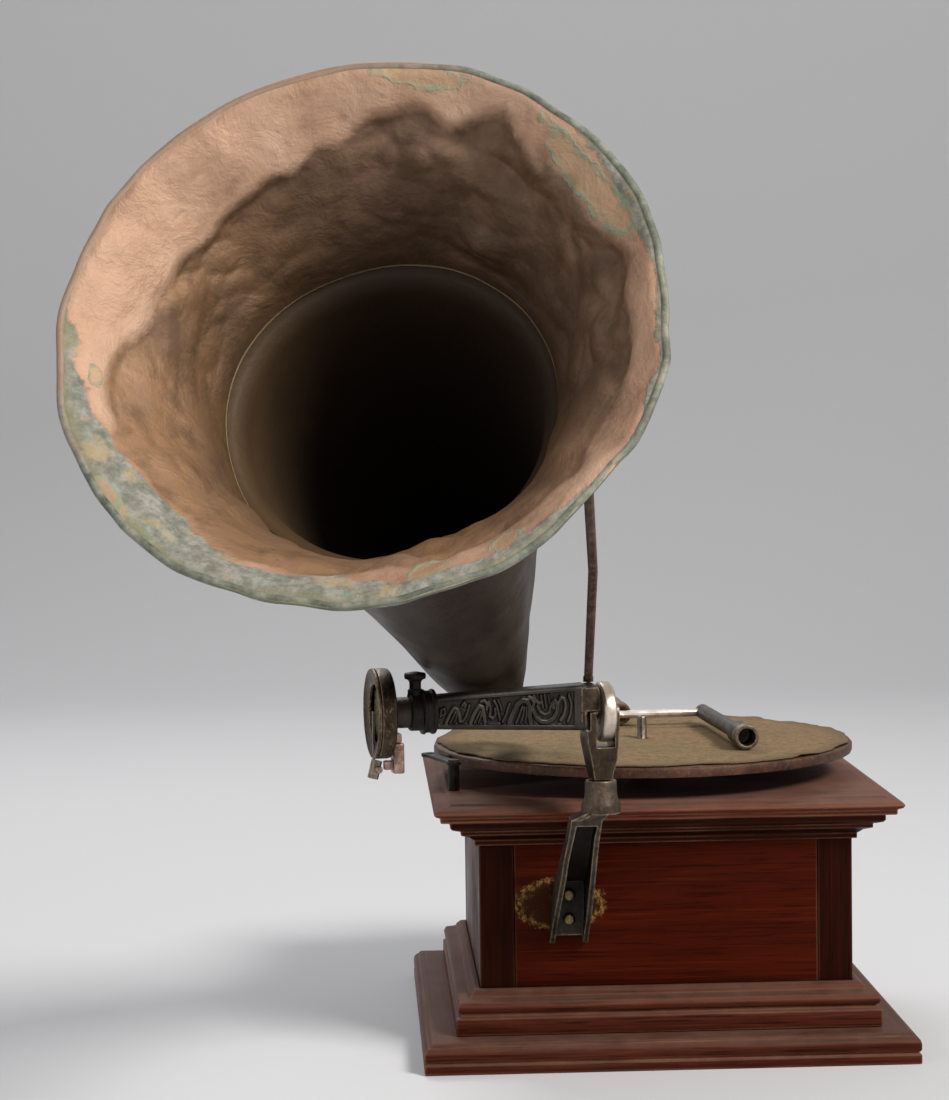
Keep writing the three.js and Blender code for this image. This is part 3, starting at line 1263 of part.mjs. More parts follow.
// The bend as [share of its half width, share of its depth]
const bendShares = [[-0.84, 0.4], [-0.53, 0.11], [0, 0], [0.52, 0.11], [0.86, 0.42], [1, 0.95]];
const bend = bendShares.map(([across, along]) => V3(
  bendX + bendHalf * across, elbowReturnY - bendDepth * along, elbowReturnLevel));
const armStub = armBack.clone().addScaledVector(backward, elbowRadius);
const behindTail = (distance) => tail.clone().addScaledVector(hornAxis, -distance);
const elbowRun = [
  ...bend, bend.at(-1).clone().lerp(armStub, 0.5), armStub, armBack,
];
const plainRadii = (radius) => elbowRun.slice(2).map(() => radius);
const elbowOuter = pipe([behindTail(seatGap), behindTail(elbowRadius), ...elbowRun],
  [spigotRadius, elbowRadius * 1.5, elbowRadius * 1.26, elbowRadius * 1.07, ...plainRadii(elbowRadius)], 1, 10);
const elbowBore = pipe([
  behindTail(-spigotLength - overrun), behindTail(-spigotLength * 0.2), behindTail(elbowRadius), ...elbowRun,
  armBack.clone().addScaledVector(backward, -overrun),
], [
  spigotRadius - elbowWall, spigotRadius - elbowWall * 2, elbowBoreRadius * 1.3, elbowBoreRadius * 1.1,
  elbowBoreRadius, ...plainRadii(elbowBoreRadius), elbowBoreRadius,
], 1, 8);
const spigot = lathe([
  [0, tailDepth - spigotLength], [spigotRadius, tailDepth - spigotLength], [spigotRadius, tailDepth + seatGap],
  [elbowCollarRadius, tailDepth + seatGap], [elbowCollarRadius, tailDepth + seatGap + elbowWall],
  [spigotRadius, tailDepth + seatGap + elbowWall * 2], [0, tailDepth + seatGap + elbowWall * 2],
], sides.horn).applyMatrix4(horn.matrixWorld);
const flangeTurn = new THREE.Quaternion().setFromUnitVectors(upward, backward);
const flange = rod(elbowFlangeRadius, 0, elbowFlangeThickness, sides.shaft).applyQuaternion(flangeTurn)
  .translate(armBack.x, armBack.y, armBack.z);
piece('horn_elbow', carve(elbowOuter, [spigot, flange], [
  elbowBore,
  block(tailX - hornRadius, tailY - hornRadius, 0, pivotX, tailY + hornRadius, elbowFloor),
]), blackJapan);

// Rod that holds the horn up

const footBottom = bridgeRadius * 1.02 + seatGap;
const rodFoot = onArm(rodFootX, 0, footBottom);
const [lugRadial, lugDepth] = bellOutside(rodLugDepth, hornWall);
const lugSlope = bellSlope(rodLugDepth);
const lugTilt = Math.hypot(1, lugSlope);
const lugPoint = (out) => {
  const r = lugRadial + out / lugTilt;
  return onHorn(r * Math.cos(rodLugAngle), r * Math.sin(rodLugAngle), lugDepth - (out * lugSlope) / lugTilt);
};
const rodEnd = lugPoint(rodLugLength * 0.4);
const rodStart = rodFoot.clone().add(V3(0, 0, rodFootHeight / 2));
const rodMiddle = rodStart.clone().lerp(rodEnd, 0.5).add(V3(rodBow, 0, 0));
const rodPath = [rodStart, rodMiddle, rodEnd];
piece('support_rod', carve(
  pipe(rodPath, [rodRadius, rodRadius, rodRadius], 4, 10),
  [rod(rodFootRadius, 0, rodFootHeight).translate(rodFoot.x, rodFoot.y, rodFoot.z)],
), steel);
const rodEndWay = rodEnd.clone().sub(rodMiddle).normalize();
const rodHole = pipe([
  rodEnd.clone().addScaledVector(rodEndWay, seatGap * 2),
  rodEnd.clone().addScaledVector(rodEndWay, -rodLugLength / 2),
  rodEnd.clone().addScaledVector(rodEndWay, -rodLugLength),
], [rodRadius + runningGap, rodRadius + runningGap, rodRadius + runningGap], 1, sides.small);
const clearBell = lathe([
  [0, 0], ...[...bellDepths].reverse().map((d) => bellOutside(d, hornWall + seatGap)), [0, seamDepth],
], sides.horn).applyMatrix4(horn.matrixWorld);
piece('horn_lug', carve(
  pipe([lugPoint(-overrun), lugPoint(rodLugLength * 0.35), lugPoint(rodLugLength * 0.7)],
    [rodLugRadius * 1.3, rodLugRadius, rodLugRadius * 0.8], 1, sides.small),
  [], [rodHole, clearBell],
), agedBrass);

// Crank on the felt

const feltTop = platterTop + seatGap + feltThickness;
const crank = groupAt(crankX, crankY, feltTop + seatGap + gripRadius);
crank.rotation.z = crankTurn;
const shaftTail = -crankShaftRadius * 1.3;
const socketDepth = ferruleLength * 2;
const ferruleStart = crankShaftLength - ferruleLength;
const shaftNose = crankSocketRadius * 0.92;
piece('crank_shaft', carve(
  alongX(lathe([
    [0, shaftTail], [crankShaftRadius * 0.8, shaftTail], [crankShaftRadius, shaftTail + crankShaftRadius * 0.2],
    [crankShaftRadius, ferruleStart - ferruleLength * 4], [shaftNose, ferruleStart - ferruleLength * 2],
    [shaftNose, ferruleStart - seatGap], [0, ferruleStart - seatGap],
  ], sides.shaft), 0, 0, 0),
  [],
  [
    alongX(rod(crankSocketBore, crankShaftLength - socketDepth, crankShaftLength), 0, 0, 0),
    rod(crankRodRadius + seatGap, -crankShaftRadius * 2, crankShaftRadius * 2).rotateX(Math.PI / 2),
  ],
), blackJapan, crank);
piece('crank_ferrule', alongX(ringLathe([
  [crankSocketBore, ferruleStart], [crankSocketRadius * 0.95, ferruleStart],
  [crankSocketRadius, ferruleStart + ferruleLength * 0.15],
  [crankSocketRadius, crankShaftLength - ferruleLength * 0.12],
  [crankSocketRadius * 0.94, crankShaftLength], [crankSocketBore, crankShaftLength],
], sides.turned), 0, 0, 0), wornNickel, crank);
const axleRadius = gripBore - runningGap;
const gripStart = -crankRodRadius - runningGap;
const gripEnd = gripStart - gripLength;
piece('crank_rod', carve(
  rod(crankRodRadius, 0, crankArmLength + crankShaftRadius * 0.8).rotateX(Math.PI / 2)
    .translate(0, crankShaftRadius * 0.8, 0),
  [
    closed(new THREE.SphereGeometry(crankRodRadius * 1.15, sides.small, sides.small / 2))
      .translate(0, -crankArmLength, 0),
    alongX(rod(axleRadius, gripEnd - crankRodRadius, 0, sides.small), 0, -crankArmLength, 0),
    alongX(rod(axleRadius * 1.7, gripEnd - crankRodRadius, gripEnd - runningGap, sides.small), 0, -crankArmLength, 0),
  ],
), brightNickel, crank);
piece('crank_grip', alongX(ringLathe([
  [gripBore, gripEnd], [gripRadius * 0.74, gripEnd], [gripRadius * 0.92, gripEnd + gripLength * 0.08],
  [gripRadius, gripEnd + gripLength * 0.28], [gripRadius * 0.93, gripEnd + gripLength * 0.6],
  [gripRadius * 0.97, gripEnd + gripLength * 0.86], [gripRadius * 0.9, gripStart],
  [gripBore * 1.7, gripStart], [gripBore, gripStart - gripBore],
], sides.turned), 0, -crankArmLength, 0), brownWood, crank);

// Brake

const brake = groupAt(brakeX, brakeY, 0);
brake.rotation.z = brakeTurn;
const brakeLeverBottom = platterTop - platterRimDepth / 2 - brakeThickness / 2;
const brakeHoleRadius = brakeEyeRadius * 0.5;
const half = brakeWidth / 2;
piece('brake_lever', carve(
  extrude([
    ...arc(0, 0, brakePostRadius * 1.25, Math.PI * 0.3, Math.PI * 1.7, 8),
    [brakeReach - brakeEyeRadius, -half], ...arc(brakeReach, 0, brakeEyeRadius, -Math.PI * 0.72, Math.PI * 0.72, 10),
    [brakeReach - brakeEyeRadius, half],
  ], brakeThickness).translate(0, 0, brakeLeverBottom),
  [
    rod(brakePostRadius, topSurface + seatGap, brakeLeverBottom + brakeThickness * 1.6),
    rod(screwShankRadius, topSurface - brakePostHeight / 2, topSurface + brakePostHeight / 2),
  ],
  [rod(brakeHoleRadius, 0, spindleTipLevel).translate(brakeReach, 0, 0)],
), blackJapan, brake);
// The pad fills the way from the lever's edge to the turntable's rim
const toSpindleX = (spindleX - brakeX) * Math.cos(brakeTurn) + (spindleY - brakeY) * Math.sin(brakeTurn);
const toSpindleY = -(spindleX - brakeX) * Math.sin(brakeTurn) + (spindleY - brakeY) * Math.cos(brakeTurn);
piece('brake_pad', block(toSpindleX - brakePadLength / 2, toSpindleY + platterRadius + seatGap,
  brakeLeverBottom + brakeThickness / 2 - brakePadThickness / 2, toSpindleX + brakePadLength / 2, -half - seatGap,
  brakeLeverBottom + brakeThickness / 2 + brakePadThickness / 2), feltCloth, brake);

export default part;
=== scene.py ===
# %% [markdown]
# # A horn phonograph, dressed for its picture
# This lesson builds the looks of a worn table-top talking machine of about 1905: a moulded
# mahogany case, a felted turntable, a carved black tone arm and a dented, tarnished brass horn.
# A frame of plain solids is loaded first. It fixes every size and every moving part, and each
# cell then lays a finer piece over one of those solids or gives it a better finish.

import math

import bmesh
import bpy
from mathutils import Matrix, Vector, noise


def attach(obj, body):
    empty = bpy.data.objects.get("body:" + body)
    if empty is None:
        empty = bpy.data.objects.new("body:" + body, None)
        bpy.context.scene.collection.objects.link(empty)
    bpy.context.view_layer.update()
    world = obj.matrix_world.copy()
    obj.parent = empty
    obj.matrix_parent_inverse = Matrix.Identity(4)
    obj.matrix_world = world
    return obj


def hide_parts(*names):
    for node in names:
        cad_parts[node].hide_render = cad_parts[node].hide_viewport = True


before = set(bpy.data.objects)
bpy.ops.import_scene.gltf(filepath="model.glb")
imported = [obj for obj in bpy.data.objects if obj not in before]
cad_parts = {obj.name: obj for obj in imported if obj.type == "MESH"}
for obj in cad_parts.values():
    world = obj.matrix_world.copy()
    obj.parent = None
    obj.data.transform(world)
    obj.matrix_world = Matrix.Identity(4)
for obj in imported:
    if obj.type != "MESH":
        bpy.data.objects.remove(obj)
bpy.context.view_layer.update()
scene = bpy.context.scene
scene.view_settings.view_transform = "Standard"

# %% [markdown]
# ## The camera
# The picture was taken from a little over a metre and a half away, slightly above the
# turntable and slightly left of the case. The place, the turn and the lens below were found by
# fitting the case's corners and the turntable's outline, for a picture of 949 by 1100 pixels.
# The lens looks straight ahead, so no shift is needed.

# %% Place the camera
picture_height = 1100
focal_pixels = 2764.3
yaw, pitch, roll = 0.04353, 0.05674, -0.01378

ahead = Vector((math.sin(yaw) * math.cos(pitch), math.cos(yaw) * math.cos(pitch), -math.sin(pitch)))
right = Vector((math.cos(yaw), -math.sin(yaw), 0))
up = right.cross(ahead)
rolled_right = math.cos(roll) * right + math.sin(roll) * up
rolled_up = -math.sin(roll) * right + math.cos(roll) * up

camera_data = bpy.data.cameras.new("camera")
camera = bpy.data.objects.new("camera", camera_data)
scene.collection.objects.link(camera)
turn = Matrix((rolled_right, rolled_up, -ahead)).transposed().to_4x4()
camera.matrix_world = Matrix.Translation((-0.1760, -1.6713, 0.3835)) @ turn
camera_data.sensor_fit = "VERTICAL"
camera_data.sensor_height = 36
camera_data.lens = focal_pixels / picture_height * camera_data.sensor_height
camera_data.clip_end = 20
scene.camera = camera
print("lens:", round(camera_data.lens, 2), "mm")

# %% [markdown]
# ## Floor, backdrop and light
# A studio sweep is one sheet that runs along the table and then up a wall in a wide curve, so
# no line shows behind the object. It is pale. The lamps are large and soft: a key from the
# upper right, a weak fill from the left, and one from above and behind that draws a thin bright
# edge on the metal. The world gives a low, even light. Where the camera or a mirror looks past
# the object, it sees a pale backdrop instead.

# %% Make the sweep
sweep = bmesh.new()
sweep_start = sweep.verts.new((-4, -3.2, 0))
sweep_end = sweep.verts.new((4, -3.2, 0))
sweep.edges.new((sweep_start, sweep_end))
drawn = bmesh.ops.extrude_edge_only(sweep, edges=sweep.edges[:])
front = [v for v in drawn["geom"] if isinstance(v, bmesh.types.BMVert)]
bmesh.ops.translate(sweep, verts=front, vec=(0, 5.0, 0))
edge = [e for e in drawn["geom"] if isinstance(e, bmesh.types.BMEdge)]
bmesh.ops.spin(sweep, geom=edge + front, cent=(0, 1.8, 1.2), axis=(1, 0, 0), angle=math.radians(90), steps=24)
bmesh.ops.recalc_face_normals(sweep, faces=sweep.faces[:])
floor_mesh = bpy.data.meshes.new("floor")
sweep.to_mesh(floor_mesh)
sweep.free()
floor = bpy.data.objects.new("floor", floor_mesh)
scene.collection.objects.link(floor)
for face in floor_mesh.polygons:
    face.use_smooth = True

floor_paint = bpy.data.materials.new("floor_paint")
floor_paint.use_nodes = True
floor_shader = floor_paint.node_tree.nodes["Principled BSDF"]
floor_shader.inputs["Base Color"].default_value = (0.78, 0.78, 0.79, 1)
floor_shader.inputs["Roughness"].default_value = 0.7
floor_shader.inputs["Specular IOR Level"].default_value = 0.2
floor_mesh.materials.append(floor_paint)
print("floor faces:", len(floor_mesh.polygons))


# %% Hang the lamps
def lamp(name, place, target, size, power, colour=(1, 1, 1)):
    """A square soft lamp that faces its target."""
    data = bpy.data.lights.new(name, "AREA")
    data.shape = "SQUARE"
    data.size = size
    data.energy = power
    data.color = colour
    made = bpy.data.objects.new(name, data)
    made.location = place
    made.rotation_euler = (Vector(target) - Vector(place)).to_track_quat("-Z", "Y").to_euler()
    scene.collection.objects.link(made)
    print("lamp:", name, power, "W")


lamp("key", (1.35, -1.7, 1.9), (-0.1, -0.2, 0.25), 0.8, 68, (1, 0.98, 0.95))
lamp("fill", (-1.9, -1.5, 0.8), (0, -0.1, 0.2), 1.2, 6, (0.95, 0.97, 1))
lamp("edge", (-0.5, 1.3, 1.7), (-0.1, -0.1, 0.25), 0.9, 14)

# %% Light the world
world = bpy.data.worlds.new("studio")
scene.world = world
world.use_nodes = True
world_nodes, world_links = world.node_tree.nodes, world.node_tree.links
backdrop = world_nodes["Background"]
backdrop.inputs["Color"].default_value = (0.86, 0.87, 0.9, 1)
path = world_nodes.new("ShaderNodeLightPath")
seen = world_nodes.new("ShaderNodeMath")
seen.operation = "MAXIMUM"
world_links.new(path.outputs["Is Camera Ray"], seen.inputs[0])
world_links.new(path.outputs["Is Glossy Ray"], seen.inputs[1])
strength = world_nodes.new("ShaderNodeMapRange")
strength.inputs["To Min"].default_value = 0.24
strength.inputs["To Max"].default_value = 0.9
world_links.new(seen.outputs[0], strength.inputs["Value"])
world_links.new(strength.outputs["Result"], backdrop.inputs["Strength"])
print("world strength off camera:", 0.24)

# %% [markdown]
# ## Helpers for finishes
# Every finish here is a small net of nodes that starts from Object coordinates, so a pattern
# stays on its piece in every view. Three helpers keep the nets short: one starts a material,
# one adds a node with its settings and links, and a few wrap the patterns used again and again.


# %% Start a material and add nodes to it
def begin(name):
    """A new material, its node tree, its shader and its Object coordinates."""
    material = bpy.data.materials.new(name)
    material.use_nodes = True
    tree = material.node_tree
    return material, tree, tree.nodes["Principled BSDF"], tree.nodes.new("ShaderNodeTexCoord").outputs["Object"]


def put(tree, kind, sockets=None, **settings):
    """Adds a node. A socket is given a number, a colour or another node's output."""
    made = tree.nodes.new("ShaderNode" + kind)
    for key, value in settings.items():
        setattr(made, key, value)
    for key, value in (sockets or {}).items():
        if isinstance(value, bpy.types.NodeSocket):
            tree.links.new(value, made.inputs[key])
        else:
            made.inputs[key].default_value = value
    return made


def link(tree, output, shader, socket):
    tree.links.new(output, shader.inputs[socket])


# %% Patterns used again and again
def speckle(tree, place, scale, detail=3, roughness=0.5, stretch=(1, 1, 1), warp=0, shift=(0, 0, 0)):
    """Cloudy noise from 0 to 1. The scale is in waves per metre, and stretch multiplies it."""
    moved = put(tree, "Mapping", {"Vector": place, "Scale": stretch, "Location": shift}).outputs[0]
    return put(tree, "TexNoise", {"Vector": moved, "Scale": scale, "Detail": detail, "Roughness": roughness,
                                  "Distortion": warp}).outputs["Fac"]


def sums(tree, operation, first, second=0.5, clamp=False):
    return put(tree, "Math", {0: first, 1: second}, operation=operation, use_clamp=clamp).outputs[0]


def ramp(tree, value, stops, ease="LINEAR"):
    """Colours or greys at places from 0 to 1."""
    made = put(tree, "ValToRGB", {"Fac": value})
    made.color_ramp.interpolation = ease
    elements = made.color_ramp.elements
    while len(elements) < len(stops):
        elements.new(0.5)
    for element, (spot, colour) in zip(elements, stops):
        element.position = spot
        element.color = (*colour, 1) if hasattr(colour, "__len__") else (colour, colour, colour, 1)
    return made.outputs["Color"]


def blended(tree, share, first, second, mode="MIX"):
    """Two colours mixed by a share from 0 to 1."""
    made = put(tree, "Mix", data_type="RGBA", blend_type=mode)
    for key, value in (("Factor", share), ("A", first), ("B", second)):
        socket = next(s for s in made.inputs if s.name == key and s.type == ("VALUE" if key == "Factor" else "RGBA"))
        if isinstance(value, bpy.types.NodeSocket):
            tree.links.new(value, socket)
        else:
            socket.default_value = (*value, 1) if hasattr(value, "__len__") else value
    return next(s for s in made.outputs if s.type == "RGBA")


def relief(tree, height, depth, normal=None):
    """A bump whose depth is in metres."""
    sockets = {"Height": height, "Distance": depth, "Strength": 1.0}
    if normal is not None:
        sockets["Normal"] = normal
    return put(tree, "Bump", sockets).outputs["Normal"]


def level(tree, value, low, high, out_low=0.0, out_high=1.0):
    """Maps a stretch of values onto another, held at its ends."""
    return put(tree, "MapRange", {"Value": value, "From Min": low, "From Max": high, "To Min": out_low,
                                  "To Max": out_high}, clamp=True).outputs["Result"]


# %% [markdown]
# ## Helpers for shapes
# A turned piece is a profile spun all the way round. A dressed piece is a copy of the frame's
# own solid whose doubles are merged and whose edges are then bevelled, which is the quickest
# way to give sawn wood and cast metal the soft edges that catch the light.


# %% Keep, turn and dress
def keep(name, mesh, finish, body, *nodes, flat=False):
    """Turns a bmesh into a finished piece that rides on a body and stands for the given solids."""
    data = bpy.data.meshes.new(name)
    mesh.to_mesh(data)
    mesh.free()
    data.materials.append(finish)
    for face in data.polygons:
        face.use_smooth = not flat
    piece = bpy.data.objects.new(name, data)
    scene.collection.objects.link(piece)
    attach(piece, body)
    if nodes:
        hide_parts(*nodes)
    return piece


def tidy(mesh, gap=0.00002):
    bmesh.ops.remove_doubles(mesh, verts=mesh.verts[:], dist=gap)
    bmesh.ops.recalc_face_normals(mesh, faces=mesh.faces[:])


def spun(profile, steps, matrix=Matrix.Identity(4), closed=False):
    """A bmesh turned round Z from [radius, height] points in metres."""
    mesh = bmesh.new()
    points = [mesh.verts.new((r, 0, z)) for r, z in profile]
    for a, b in zip(points, points[1:]):
        mesh.edges.new((a, b))
    if closed:
        mesh.edges.new((points[-1], points[0]))
    bmesh.ops.spin(mesh, geom=mesh.verts[:] + mesh.edges[:], cent=(0, 0, 0), axis=(0, 0, 1),
                   angle=math.tau, steps=steps, use_merge=True)
    tidy(mesh)
    bmesh.ops.transform(mesh, matrix=matrix, verts=mesh.verts[:])
    return mesh


def creased(piece, angle=35):
    """Marks the edges that turn more than the angle as sharp, so the rest shade smoothly."""
    mesh = bmesh.new()
    mesh.from_mesh(piece.data)
    for joint in mesh.edges:
        joint.smooth = len(joint.link_faces) == 2 and joint.calc_face_angle(0) < math.radians(angle)
    mesh.to_mesh(piece.data)
    mesh.free()
    return piece


def solid_copy(node):
    """A merged copy of one of the frame's solids, as a bmesh."""
    mesh = bmesh.new()
    mesh.from_mesh(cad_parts[node].data)
    bmesh.ops.transform(mesh, matrix=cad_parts[node].matrix_world, verts=mesh.verts[:])
    bmesh.ops.remove_doubles(mesh, verts=mesh.verts[:], dist=0.00001)
    bmesh.ops.dissolve_limit(mesh, angle_limit=math.radians(1), verts=mesh.verts[:], edges=mesh.edges[:])
    return mesh


def softened(mesh, width, angle=30, segments=2):
    """Rounds the edges of a bmesh that turn more than the angle."""
    sharp = [e for e in mesh.edges if len(e.link_faces) == 2 and e.calc_face_angle(0) > math.radians(angle)]
    bmesh.ops.bevel(mesh, geom=sharp, offset=width, offset_type="OFFSET", affect="EDGES", segments=segments,
                    profile=0.5, material=-1, clamp_overlap=True, loop_slide=True)
    return mesh


def dressed(node, finish, body, width=0.0006, angle=30, segments=2):
    """A softened copy that stands for its solid."""
    mesh = softened(solid_copy(node), width, angle, segments)
    return creased(keep(node + "_finish", mesh, finish, body, node), 50)


print("helpers ready")

# %% [markdown]
# ## The horn's place
# The horn has a frame of its own: its origin is the middle of the mouth and Z runs back along
# the axis toward the tail. Every ring of the horn is round in that frame, so a profile of
# radius against depth is all that the shape needs. The same frame, turned into a Mapping node,
# lets the tarnish know how far it is from the rim.

# %% Find the horn's frame
horn_turn, horn_rise = math.radians(10.94), math.radians(27.59)
mouthward = Vector((-math.sin(horn_turn) * math.cos(horn_rise), -math.cos(horn_turn) * math.cos(horn_rise),
                    math.sin(horn_rise)))
horn_tail = Vector((-0.0952, -0.0600, 0.2030))
tail_depth, seam_depth, neck_depth = 0.458, 0.086, 0.206
horn_radius, bead_radius, seam_radius = 0.139, 0.0019, 0.0785
neck_radius, tail_radius, sheet = 0.056, 0.0158, 0.0008
horn_side = mouthward.cross(Vector((0, 0, 1))).normalized()
horn_up = horn_side.cross(mouthward)
mouth_middle = horn_tail + mouthward * tail_depth
horn_frame = Matrix.Translation(mouth_middle) @ Matrix((horn_side, horn_up, -mouthward)).transposed().to_4x4()
print("mouth:", [round(v, 4) for v in mouth_middle])


# %% The bell's radius at a depth
flare = horn_radius - bead_radius - seam_radius


def bell_radius(depth):
    rest = 1 - depth / seam_depth
    return seam_radius + flare * (0.72 * rest ** 3 + 0.28 * rest)


def cone_radius(depth):
    return neck_radius + (tail_radius - neck_radius) * (depth - neck_depth) / (tail_depth - neck_depth)


# %% [markdown]
# ## Dents
# The brass has been knocked and crumpled all the way round, most of all where the lip turns
# into the throat. Crumpled sheet is made of soft hollows that meet in ridges. The distance to
# the nearest of many scattered points gives just that: it grows from zero in the middle of a
# hollow and meets its neighbour in a crease. Two sizes of hollow are laid over each other, and
# slow waves pull the rim itself a little out of round. The dents are real shape, not a bump, so
# they also show in the outline and in the shadows.


# %% Work out a dent
def hollows(spot, size, seed):
    """From 0 in the middle of a hollow to about 1 at its ridge."""
    warped = spot / size + noise.noise_vector(spot / size * 0.9 + Vector((seed, 0, 0))) * 0.45
    near = noise.voronoi(warped + Vector((0, seed, 0)))[0]
    return min(1.0, near[0] / 0.72) ** 1.6


def stepped(value, low, high):
    share = min(1.0, max(0.0, (value - low) / (high - low)))
    return share * share * (3 - 2 * share)


rim_pull = 0.0011
lug_corners = [horn_frame.inverted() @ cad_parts["horn_lug"].matrix_world @ Vector(corner)
               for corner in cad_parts["horn_lug"].bound_box]
lug_spot = sum(lug_corners, Vector()) / 8
print("lug at:", [round(v, 4) for v in lug_spot])


def lip_end(angle):
    """The depth where the smooth lip ends and the crumpled funnel starts, scalloped round the mouth."""
    turn = Vector((math.cos(angle), math.sin(angle), 0))
    wide = max(0.0, turn.dot(Vector((0.76, 0.65, 0))) - 0.55)
    return 0.0115 + 0.036 * wide + 0.0060 * noise.noise(turn * 5.5 + Vector((4, 1, 2)))


def dent(angle, depth, radius):
    """How far the sheet moves outward from the axis, in metres, at a place on the horn."""
    spot = Vector((radius * math.cos(angle), radius * math.sin(angle), depth))
    flattened = Vector((spot.x, spot.y, spot.z * 1.25))
    border = lip_end(angle)
    crumple = stepped(depth, border - 0.002, border + 0.006) * (1 - 0.9 * stepped(depth, 0.062, 0.084))
    shelf = 0.0018 * stepped(depth, border - 0.0015, border + 0.0045) * (1 - stepped(depth, 0.030, 0.070))
    lip = 1 - stepped(depth, 0.006, 0.03)
    patchy = 0.3 + 0.95 * stepped(noise.noise(spot * 14 + Vector((3, 1, 7))), -0.35, 0.35)
    big = (hollows(flattened, 0.040, 5.3) - 0.45) * 0.0064
    small = (hollows(flattened, 0.019, 11.7) - 0.45) * 0.0030
    slow = noise.noise(spot * 17 + Vector((9, 4, 2))) * 0.0045
    ripple = noise.noise(spot * 42 + Vector((1, 8, 5))) * 0.0011
    rim = (noise.noise(Vector((math.cos(angle), math.sin(angle), 0)) * 2.4 + Vector((2, 2, 2))) - 0.25) * 0.0034
    rim += (noise.noise(Vector((math.cos(angle), math.sin(angle), 0)) * 7.5) - 0.2) * 0.0011
    rim_share = 1 - stepped(depth, 0.0, 0.05)
    hold = stepped((spot - lug_spot).length, 0.014, 0.034)
    return hold * (shelf + crumple * patchy * (big + small + ripple) + stepped(depth, 0.002, 0.02) * slow * 0.6) \
        + (min(0.0, rim) - rim_pull) * rim_share + lip * ripple * 0.9


print("dent at the lip:", round(dent(1.0, 0.02, 0.11) * 1000, 2), "mm")

# %% Raise the bell
bell_steps, bell_rows = 352, 96
bell_profile = []
for row in range(bell_rows + 1):
    deep = seam_depth * (1 - (1 - row / bell_rows) ** 1.0)
    bell_profile.append((bell_radius(deep), deep))
bell_mesh = spun(bell_profile, bell_steps)
past_lip = bell_mesh.verts.layers.float.new("past_lip")
for vert in bell_mesh.verts:
    around, out = math.atan2(vert.co.y, vert.co.x), math.hypot(vert.co.x, vert.co.y)
    vert[past_lip] = (vert.co.z - lip_end(around)) * 100
    push = dent(around, vert.co.z, out)
    slope = flare / seam_depth * (3 * 0.72 * (1 - vert.co.z / seam_depth) ** 2 + 0.28)
    lean = 1 / math.hypot(1, slope)
    vert.co += Vector((math.cos(around) * lean, math.sin(around) * lean, slope * lean)) * push
    if vert.co.z < 0.0012:
        vert.co.z = 0.0012 - (0.0012 - vert.co.z) * 0.2
bell_faces = bell_mesh.faces[:]
middle_face = bell_faces[0]
if middle_face.normal.xy.dot(middle_face.calc_center_median().xy) > 0:
    bmesh.ops.reverse_faces(bell_mesh, faces=bell_faces)
bmesh.ops.transform(bell_mesh, matrix=horn_frame, verts=bell_mesh.verts[:])
print("bell faces:", len(bell_faces))

# %% [markdown]
# ## The tarnish and painted shade on the horn
# Inside, the bell is a pinkish tan that turns brown and then nearly black down the throat; this darkening is partly
# tarnish and partly painted shade, and the side turned away from the key lamp is painted darker as painted shade.
# Along the rim runs a band of silver-green patina with a wandering inner border, drawn by a
# thin copper line. Islands of turquoise corrosion with ochre hearts lie on it. Every colour is
# placed by the distance from the axis and the depth, read in the horn's own frame, and noise
# moves the borders.


# %% Read the horn's frame in a material
def horn_place(tree, place):
    """Object coordinates moved into the horn's frame, with the radius and the depth."""
    back = horn_frame.inverted()
    spot = put(tree, "Mapping", {"Vector": place, "Location": back.to_translation(), "Rotation": back.to_euler()})
    parts = put(tree, "SeparateXYZ", {"Vector": spot.outputs[0]})
    flat_spot = put(tree, "Mapping", {"Vector": spot.outputs[0], "Scale": (1, 1, 0)})
    radius = put(tree, "VectorMath", {0: flat_spot.outputs[0]}, operation="LENGTH").outputs["Value"]
    return spot.outputs[0], radius, parts.outputs["Z"]


def near_spot(tree, spot, middle, size, stretch=(1, 1, 1), turned=0.0):
    """The distance from a place in the horn's frame, over a size, along a turned oval."""
    moved = put(tree, "VectorMath", {0: spot, 1: middle}, operation="SUBTRACT").outputs[0]
    rolled = put(tree, "Mapping", {"Vector": moved, "Rotation": (0, 0, turned)}).outputs[0]
    oval = put(tree, "Mapping", {"Vector": rolled, "Scale": [s / size for s in stretch]}).outputs[0]
    return put(tree, "VectorMath", {0: oval}, operation="LENGTH").outputs["Value"]


# %% Mix the colours of the bell
brass_inside, tree, shader, place = begin("bell_tarnish_and_painted_shade")
spot, radius, depth = horn_place(tree, place)
wander = speckle(tree, spot, 16, 5, 0.6, warp=0.6)
fine_wander = speckle(tree, spot, 90, 4, 0.6)
cloud = speckle(tree, spot, 24, 6, 0.62)
grain = speckle(tree, spot, 420, 3, 0.6)
sunk = put(tree, "Attribute", attribute_name="past_lip").outputs["Fac"]
loose = sums(tree, "ADD", sunk, sums(tree, "MULTIPLY", sums(tree, "SUBTRACT", fine_wander), 0.8))
in_funnel = level(tree, loose, 0.0, 0.32)
# The depth ramps below darken toward the throat: partly tarnish and partly painted shade.
deep = level(tree, sums(tree, "ADD", depth, sums(tree, "MULTIPLY", sums(tree, "SUBTRACT", cloud), 0.03)), 0.0, 0.088)
lit_side = ramp(tree, deep, [(0.1, (0.36, 0.205, 0.108)), (0.45, (0.27, 0.145, 0.068)), (1.0, (0.115, 0.060, 0.022))])
painted_shade_colour = ramp(tree, deep, [(0.1, (0.17, 0.098, 0.056)), (0.4, (0.115, 0.064, 0.034)), (1.0, (0.055, 0.030, 0.014))])
